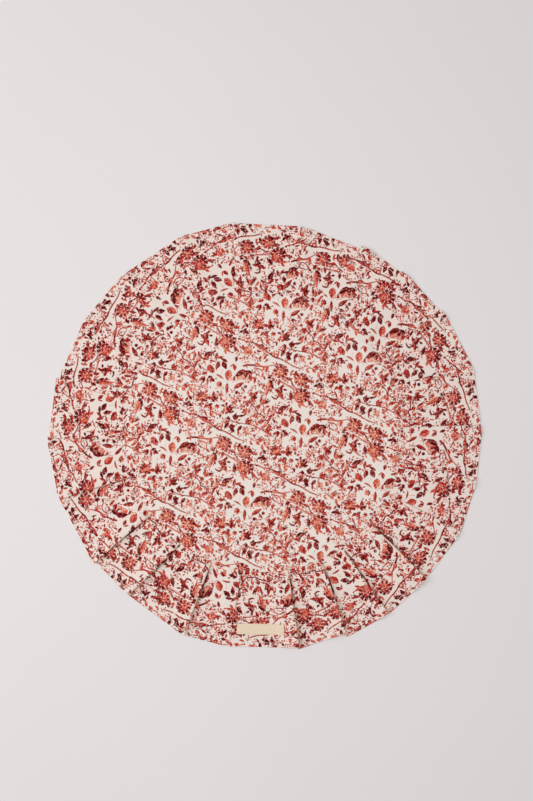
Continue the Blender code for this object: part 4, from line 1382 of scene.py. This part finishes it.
class Finish:
    """A material with its node tree and Principled shader, and short ways to add nodes."""

    def __init__(self, name, specular):
        self.material = bpy.data.materials.get(name) or bpy.data.materials.new(name)
        self.material.use_nodes = True
        self.tree = self.material.node_tree
        self.tree.nodes.clear()
        self.shader = self.add("BsdfPrincipled")
        self.add("OutputMaterial", self.shader.outputs["BSDF"])
        self.shader.inputs["Specular IOR Level"].default_value = specular

    def feed(self, socket, value):
        """Gives a socket a number, a colour or another node's output."""
        if isinstance(value, bpy.types.NodeSocket):
            self.tree.links.new(value, socket)
        else:
            socket.default_value = value

    def add(self, kind, *values, **settings):
        """A new node: values go to its first sockets in order, and settings to what they name."""
        node = self.tree.nodes.new("ShaderNode" + kind)
        for socket, value in zip(node.inputs, values):
            self.feed(socket, value)
        for key, value in settings.items():
            if key in node.inputs:
                self.feed(node.inputs[key], value)
            else:
                setattr(node, key, value)
        return node

    def cover(self, tint, roughness):
        """Gives the surface its colour and roughness."""
        self.feed(self.shader.inputs["Base Color"], tint)
        self.feed(self.shader.inputs["Roughness"], roughness)

    def emboss(self, height, strength):
        """Raises the surface where the height is 1, by a thread's height."""
        bump = self.add("Bump", Strength=strength, Distance=THREAD_HEIGHT * MM, Height=height)
        self.feed(self.shader.inputs["Normal"], bump.outputs["Normal"])

    def cloth(self, scale_u=1.0, scale_v=1.0):
        """Places on the flat cloth in millimetres, times a scale for each axis."""
        place = self.add("UVMap", uv_map="cloth")
        scale = (CLOTH_UNIT * scale_u, CLOTH_UNIT * scale_v, 1)
        return self.add("Mapping", place.outputs["UV"], Scale=scale).outputs["Vector"]

    def noise(self, scale_u, scale_v, detail=2.0, roughness=0.5):
        places = self.cloth(scale_u, scale_v)
        node = self.add("TexNoise", places, Scale=1.0, Detail=detail, Roughness=roughness)
        return node.outputs["Fac"]

    def in_range(self, value, low, high, to_low, to_high):
        """A value that runs from low to high, moved to run from to_low to to_high."""
        return self.add("MapRange", value, low, high, to_low, to_high).outputs["Result"]

    def math(self, operation, *values):
        return self.add("Math", *values, operation=operation).outputs[0]

    def times(self, first, second):
        return self.math("MULTIPLY", first, second)

    def blend(self, share, first, second, kind="MIX"):
        node = self.add("Mix", share, data_type="RGBA", blend_type=kind)
        self.feed(node.inputs[6], first)
        self.feed(node.inputs[7], second)
        return node.outputs[2]

    def toned(self, tint, tone):
        """A colour made darker or lighter by a number."""
        grey = self.add("CombineColor", tone, tone, tone)
        return self.blend(1.0, tint, grey.outputs[0], "MULTIPLY")

    def ribs(self, pitch, axis):
        """Ribs of the threads, one in each pitch along an axis: 0 between them and 1 on top."""
        uneven = (0.6, 1.0, 0.4)  # the wave's distortion, with its detail and its detail's scale
        directions = {"wave_type": "BANDS", "bands_direction": axis}
        wave = self.add("TexWave", self.cloth(), ONE_BAND / pitch, *uneven, **directions)
        return wave.outputs["Fac"]


def hem_stitches(finish):
    """A row of machine stitches along the hem: 1 on the thread."""
    rim = finish.add("Attribute", attribute_name="rim").outputs["Fac"]
    away = finish.math("ABSOLUTE", finish.math("SUBTRACT", rim, size("hem_width") - STITCH_INSET))
    row = finish.in_range(away, *STITCH_SIDE, 1.0, 0.0)
    place = finish.add("SeparateXYZ", finish.cloth(1 / STITCH_LENGTH))
    step = finish.math("FRACT", place.outputs["X"])
    from_middle = finish.math("ABSOLUTE", finish.math("SUBTRACT", step, 0.5))
    return finish.times(row, finish.in_range(from_middle, *STITCH_END, 1.0, 0.0))


def strewn_leaves(finish, pitch, shift, share):
    """Small pointed leaves, one to a cell where the cell's chance is under share: 1 inside a leaf."""
    place = finish.add("VectorMath", finish.cloth(1 / pitch, 1 / pitch), (shift, shift, 0.0)).outputs[0]
    cells = finish.add("TexVoronoi", place, voronoi_dimensions="2D", feature="F1", Scale=1.0)
    away = finish.add("VectorMath", place, cells.outputs["Position"], operation="SUBTRACT").outputs[0]
    chance = finish.add("SeparateColor", cells.outputs["Color"])
    angle = finish.times(chance.outputs[0], 2 * math.pi)
    turned = finish.add("VectorRotate", rotation_type="Z_AXIS", Vector=away, Angle=angle)
    axes = finish.add("SeparateXYZ", turned.outputs["Vector"])
    along = finish.times(axes.outputs["X"], 1 / STREWN_LENGTH)
    across = finish.times(finish.math("ABSOLUTE", axes.outputs["Y"]), 1 / STREWN_WIDTH)
    rim = finish.math("ADD", across, finish.times(along, along))
    shape = finish.in_range(rim, 0.9, 1.0, 1.0, 0.0)
    return finish.times(shape, finish.math("LESS_THAN", chance.outputs[1], share))


def printed_cotton():
    """Plain-woven cotton with the print's inks: thread ribs, slubs and uneven ink."""
    finish = Finish("printed_cotton", 0.02)
    ink = finish.add("Attribute", attribute_name="ink")
    inked = finish.in_range(ink.outputs["Alpha"], 0.90, 0.92, 0.0, 1.0)
    # Small open and dark strokes inside every motif
    grain = finish.noise(0.45, 0.45, roughness=0.6)
    open_strokes = finish.times(finish.in_range(grain, 0.57, 0.60, 0.0, 0.5), inked)
    printed = finish.blend(open_strokes, ink.outputs["Color"], colour("blush"))
    dark_strokes = finish.in_range(finish.noise(0.48, 0.62), 0.52, 0.545, 0.0, 0.92)
    printed = finish.blend(finish.times(dark_strokes, inked), printed, ETCHED, "MULTIPLY")
    # Small leaves on the bare ground, then the hem's thread over everything
    strewn = finish.times(finish.math("SUBTRACT", 1.0, inked), ink.outputs["Alpha"])
    for number, (key, pitch) in enumerate(zip(("shell", "coral", "brick"), LEAF_PITCH)):
        leaves = strewn_leaves(finish, pitch, 11.3 * number, strewn)
        over_ground = tuple(part / whole for part, whole in zip(colour(key), colour("ground")))
        printed = finish.blend(leaves, printed, over_ground, "MULTIPLY")
    stitches = hem_stitches(finish)
    printed = finish.blend(stitches, printed, colour("thread"))
    # Slubs both ways, and the ribs of warp and weft; the colour is darker between the threads, as painted
    # shade in the weave's hollows
    slubs = finish.in_range(finish.noise(0.12, 2.4), 0.35, 0.75, 0.965, 1.02)
    slubs_across = finish.in_range(finish.noise(2.4, 0.12), 0.35, 0.75, 0.975, 1.015)
    pitch = size("thread_pitch")
    ribs = finish.math("MAXIMUM", finish.ribs(pitch, "X"), finish.ribs(pitch * 0.93, "Y"))
    tone = finish.times(finish.times(slubs, slubs_across), finish.in_range(ribs, 0.0, 1.0, 0.90, 1.02))
    finish.cover(finish.toned(printed, tone), finish.in_range(grain, 0.3, 0.7, 0.84, 0.94))
    height = finish.math("ADD", ribs, finish.times(grain, 0.5))
    finish.emboss(finish.math("ADD", height, finish.times(stitches, 2.0)), 0.35)
    return finish.material


def woven_tape():
    """The label's cream tape: close ribs across it and beige flecks."""
    finish = Finish("woven_tape", 0.3)
    flecks = finish.in_range(finish.noise(1.6, 2.6, 3.0, 0.7), 0.48, 0.66, 0.0, 0.8)
    tape = finish.blend(flecks, colour("tape"), colour("tape_fleck"))
    ribs = finish.math("MAXIMUM", finish.ribs(0.38, "X"), finish.ribs(0.3, "Y"))
    # the colour is darker between the ribs, as painted shade in the weave's hollows
    tone = finish.in_range(ribs, 0.0, 1.0, 0.84, 1.03)
    finish.cover(finish.toned(tape, tone), finish.in_range(flecks, 0.0, 0.8, 0.72, 0.88))
    finish.emboss(ribs, 0.5)
    return finish.material


def floor_finish():
    """A matt, almost even pale table."""
    finish = Finish("pale_table", 0.15)
    place = finish.add("TexCoord").outputs["Object"]
    cloud = finish.add("TexNoise", place, Scale=3.0, Detail=2.0).outputs["Fac"]
    pale = colour("table")
    shade = (*(part * 0.985 for part in pale[:3]), 1.0)
    finish.cover(finish.blend(finish.in_range(cloud, 0.3, 0.7, 0.0, 1.0), pale, shade), 0.9)
    return finish.material


def length_property(name, description, default):
    limits = {"min": 0.00001, "precision": 5, "subtype": "DISTANCE", "unit": "LENGTH"}
    return bpy.props.FloatProperty(name=name, description=description, default=default, **limits)


def colour_property(name, description, default):
    limits = {"size": 3, "min": 0.0, "max": 1.0, "subtype": "COLOR"}
    return bpy.props.FloatVectorProperty(name=name, description=description, default=default, **limits)


class PlacematColours(bpy.types.PropertyGroup):
    """Colours of the inks, the cloths and the table"""

    ground: colour_property("Ground", "Unprinted cotton", (0.880, 0.780, 0.715))
    blush: colour_property("Blush", "Palest ink", (0.860, 0.540, 0.430))
    shell: colour_property("Shell", "Light ink", (0.840, 0.295, 0.190))
    coral: colour_property("Coral", "Main ink", (0.655, 0.106, 0.070))
    brick: colour_property("Brick", "Deep ink", (0.335, 0.029, 0.024))
    maroon: colour_property("Maroon", "Darkest ink", (0.140, 0.011, 0.015))
    thread: colour_property("Thread", "Stitches along the hem", (0.86, 0.77, 0.70))
    back: colour_property("Wrong side", "The cloth's wrong side", (0.84, 0.72, 0.64))
    tape: colour_property("Tape", "The label's tape", (0.89, 0.74, 0.55))
    tape_fleck: colour_property("Tape fleck", "Flecks in the label's tape", (0.66, 0.50, 0.34))
    table: colour_property("Table", "The pale table", (0.808, 0.770, 0.768))


class PlacematSizes(bpy.types.PropertyGroup):
    """Sizes of the cloth, its hem and the label"""

    sheet: length_property("Cloth", "Thickness of the printed cloth", 0.0006)
    hem_width: length_property("Hem", "Width of the turned hem along the rim", 0.005)
    hem_step: length_property("Hem step", "How much thicker the hem lies", 0.00012)
    gathers: length_property("Gathers", "Height of the small gathers along the seam", 0.00016)
    thread_pitch: length_property("Thread pitch", "Distance between the cotton's threads", 0.00045)
    label_length: length_property("Label length", "The label's long side", 0.047)
    label_width: length_property("Label width", "The label's short side", 0.0105)
    label_thickness: length_property("Label thickness", "Thickness of the folded tape", 0.0005)


class PlacematLight(bpy.types.PropertyGroup):
    """Strengths of the lamps, and the camera's lens"""

    key: bpy.props.FloatProperty(
        name="Window", description="Strength of the large light on the left", default=13.4, unit="POWER"
    )
    top: bpy.props.FloatProperty(
        name="Ceiling", description="Strength of the light from above", default=5.7, unit="POWER"
    )
    fill: bpy.props.FloatProperty(
        name="Surroundings", description="Strength of the light from all round", default=0.46
    )
    lens: bpy.props.FloatProperty(
        name="Lens", description="Camera's focal length", default=50.0, unit="CAMERA"
    )


class PLACEMAT_OT_centre_panel(bpy.types.Operator):
    """Makes the printed centre panel"""

    bl_idname = "placemat.centre_panel"
    bl_label = "Centre panel"

    def execute(self, context):
        inset = (0.13, 0.07, 0.07)
        panel = build_mesh("printed_panel", make_centre_panel(cloth_print()), printed_cotton(), inset)
        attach(panel, "root")
        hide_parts("centre_panel")
        return {"FINISHED"}


class PLACEMAT_OT_frill(bpy.types.Operator):
    """Makes the pleated frill from one strip"""

    bl_idname = "placemat.frill"
    bl_label = "Frill"

    def execute(self, context):
        sewing = make_frill(cloth_print())
        inset = (0.6, 0.5, 0.5)
        # the frill's colours are made deeper: painted shade for its layers and folds
        frill = build_mesh("pleated_frill", sewing, printed_cotton(), inset, FRILL_SHADE_DEPTH, FRILL_SHADE_LEAN)
        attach(frill, "root")
        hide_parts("frill")
        return {"FINISHED"}


class PLACEMAT_OT_label(bpy.types.Operator):
    """Makes the bare woven label"""

    bl_idname = "placemat.label"
    bl_label = "Label"

    def execute(self, context):
        label = build_mesh("woven_label", make_label(), woven_tape(), (0.5, 0.5, 0.5))
        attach(label, "root")
        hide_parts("label")
        size("label_width") * MM
        size("label_length") * MM
        return {"FINISHED"}


class PLACEMAT_OT_stage(bpy.types.Operator):
    """Makes the pale table, the soft light and the camera"""

    bl_idname = "placemat.stage"
    bl_label = "Stage"

    def execute(self, context):
        light = context.scene.placemat_light
        bpy.ops.mesh.primitive_plane_add(size=TABLE_SIZE)
        table = context.object
        table.name = "table"
        table.data.materials.append(floor_finish())
        for name, place, width, power in (
            ("window", WINDOW_PLACE, WINDOW_SIZE, light.key),
            ("ceiling", CEILING_PLACE, CEILING_SIZE, light.top),
        ):
            lamp = bpy.data.lights.new(name, "AREA")
            lamp.shape = "SQUARE"
            lamp.size = width
            lamp.energy = power
            source = bpy.data.objects.new(name, lamp)
            source.location = place
            source.rotation_euler = (-source.location).to_track_quat("-Z", "Y").to_euler()
            context.collection.objects.link(source)
        world = bpy.data.worlds.new("soft_room")
        world.use_nodes = True
        sky = world.node_tree.nodes["Background"]
        sky.inputs["Color"].default_value = ROOM_TINT
        sky.inputs["Strength"].default_value = light.fill
        context.scene.world = world
        context.scene.view_settings.view_transform = "Standard"
        lens = bpy.data.cameras.new("camera")
        lens.lens = light.lens
        camera = bpy.data.objects.new("camera", lens)
        height = max(VIEW_SIZE) * MM * lens.lens / lens.sensor_width
        camera.location = (VIEW_MIDDLE[0] * MM, VIEW_MIDDLE[1] * MM, height)
        context.collection.objects.link(camera)
        context.scene.camera = camera
        return {"FINISHED"}


class PLACEMAT_PT_sidebar(bpy.types.Panel):
    """The placemat's steps and colours in the 3D view's sidebar"""

    bl_idname = "PLACEMAT_PT_sidebar"
    bl_label = "Placemat"
    bl_space_type = "VIEW_3D"
    bl_region_type = "UI"
    bl_category = "Placemat"

    def draw(self, context):
        for step in STEPS:
            self.layout.operator(step.bl_idname)
        scene = context.scene
        for group in (scene.placemat_sizes, scene.placemat_colours, scene.placemat_light):
            for key in group.bl_rna.properties.keys():
                if key not in ("rna_type", "name"):
                    self.layout.prop(group, key)


STEPS = (PLACEMAT_OT_centre_panel, PLACEMAT_OT_frill, PLACEMAT_OT_label, PLACEMAT_OT_stage)
CLASSES = (PlacematSizes, PlacematColours, PlacematLight, *STEPS, PLACEMAT_PT_sidebar)


@lru_cache(maxsize=1)
def cloth_print():
    """One repeat of the print, cut into triangles once for both cloths."""
    return lay_tile(draw_print())


def register():
    for kind in CLASSES:
        bpy.utils.register_class(kind)
    bpy.types.Scene.placemat_sizes = bpy.props.PointerProperty(type=PlacematSizes)
    bpy.types.Scene.placemat_colours = bpy.props.PointerProperty(type=PlacematColours)
    bpy.types.Scene.placemat_light = bpy.props.PointerProperty(type=PlacematLight)


def unregister():
    del bpy.types.Scene.placemat_light
    del bpy.types.Scene.placemat_colours
    del bpy.types.Scene.placemat_sizes
    for kind in reversed(CLASSES):
        bpy.utils.unregister_class(kind)


def main():
    register()
    bpy.ops.placemat.stage()
    bpy.ops.placemat.centre_panel()
    bpy.ops.placemat.frill()
    bpy.ops.placemat.label()


if __name__ == "__main__":
    main()
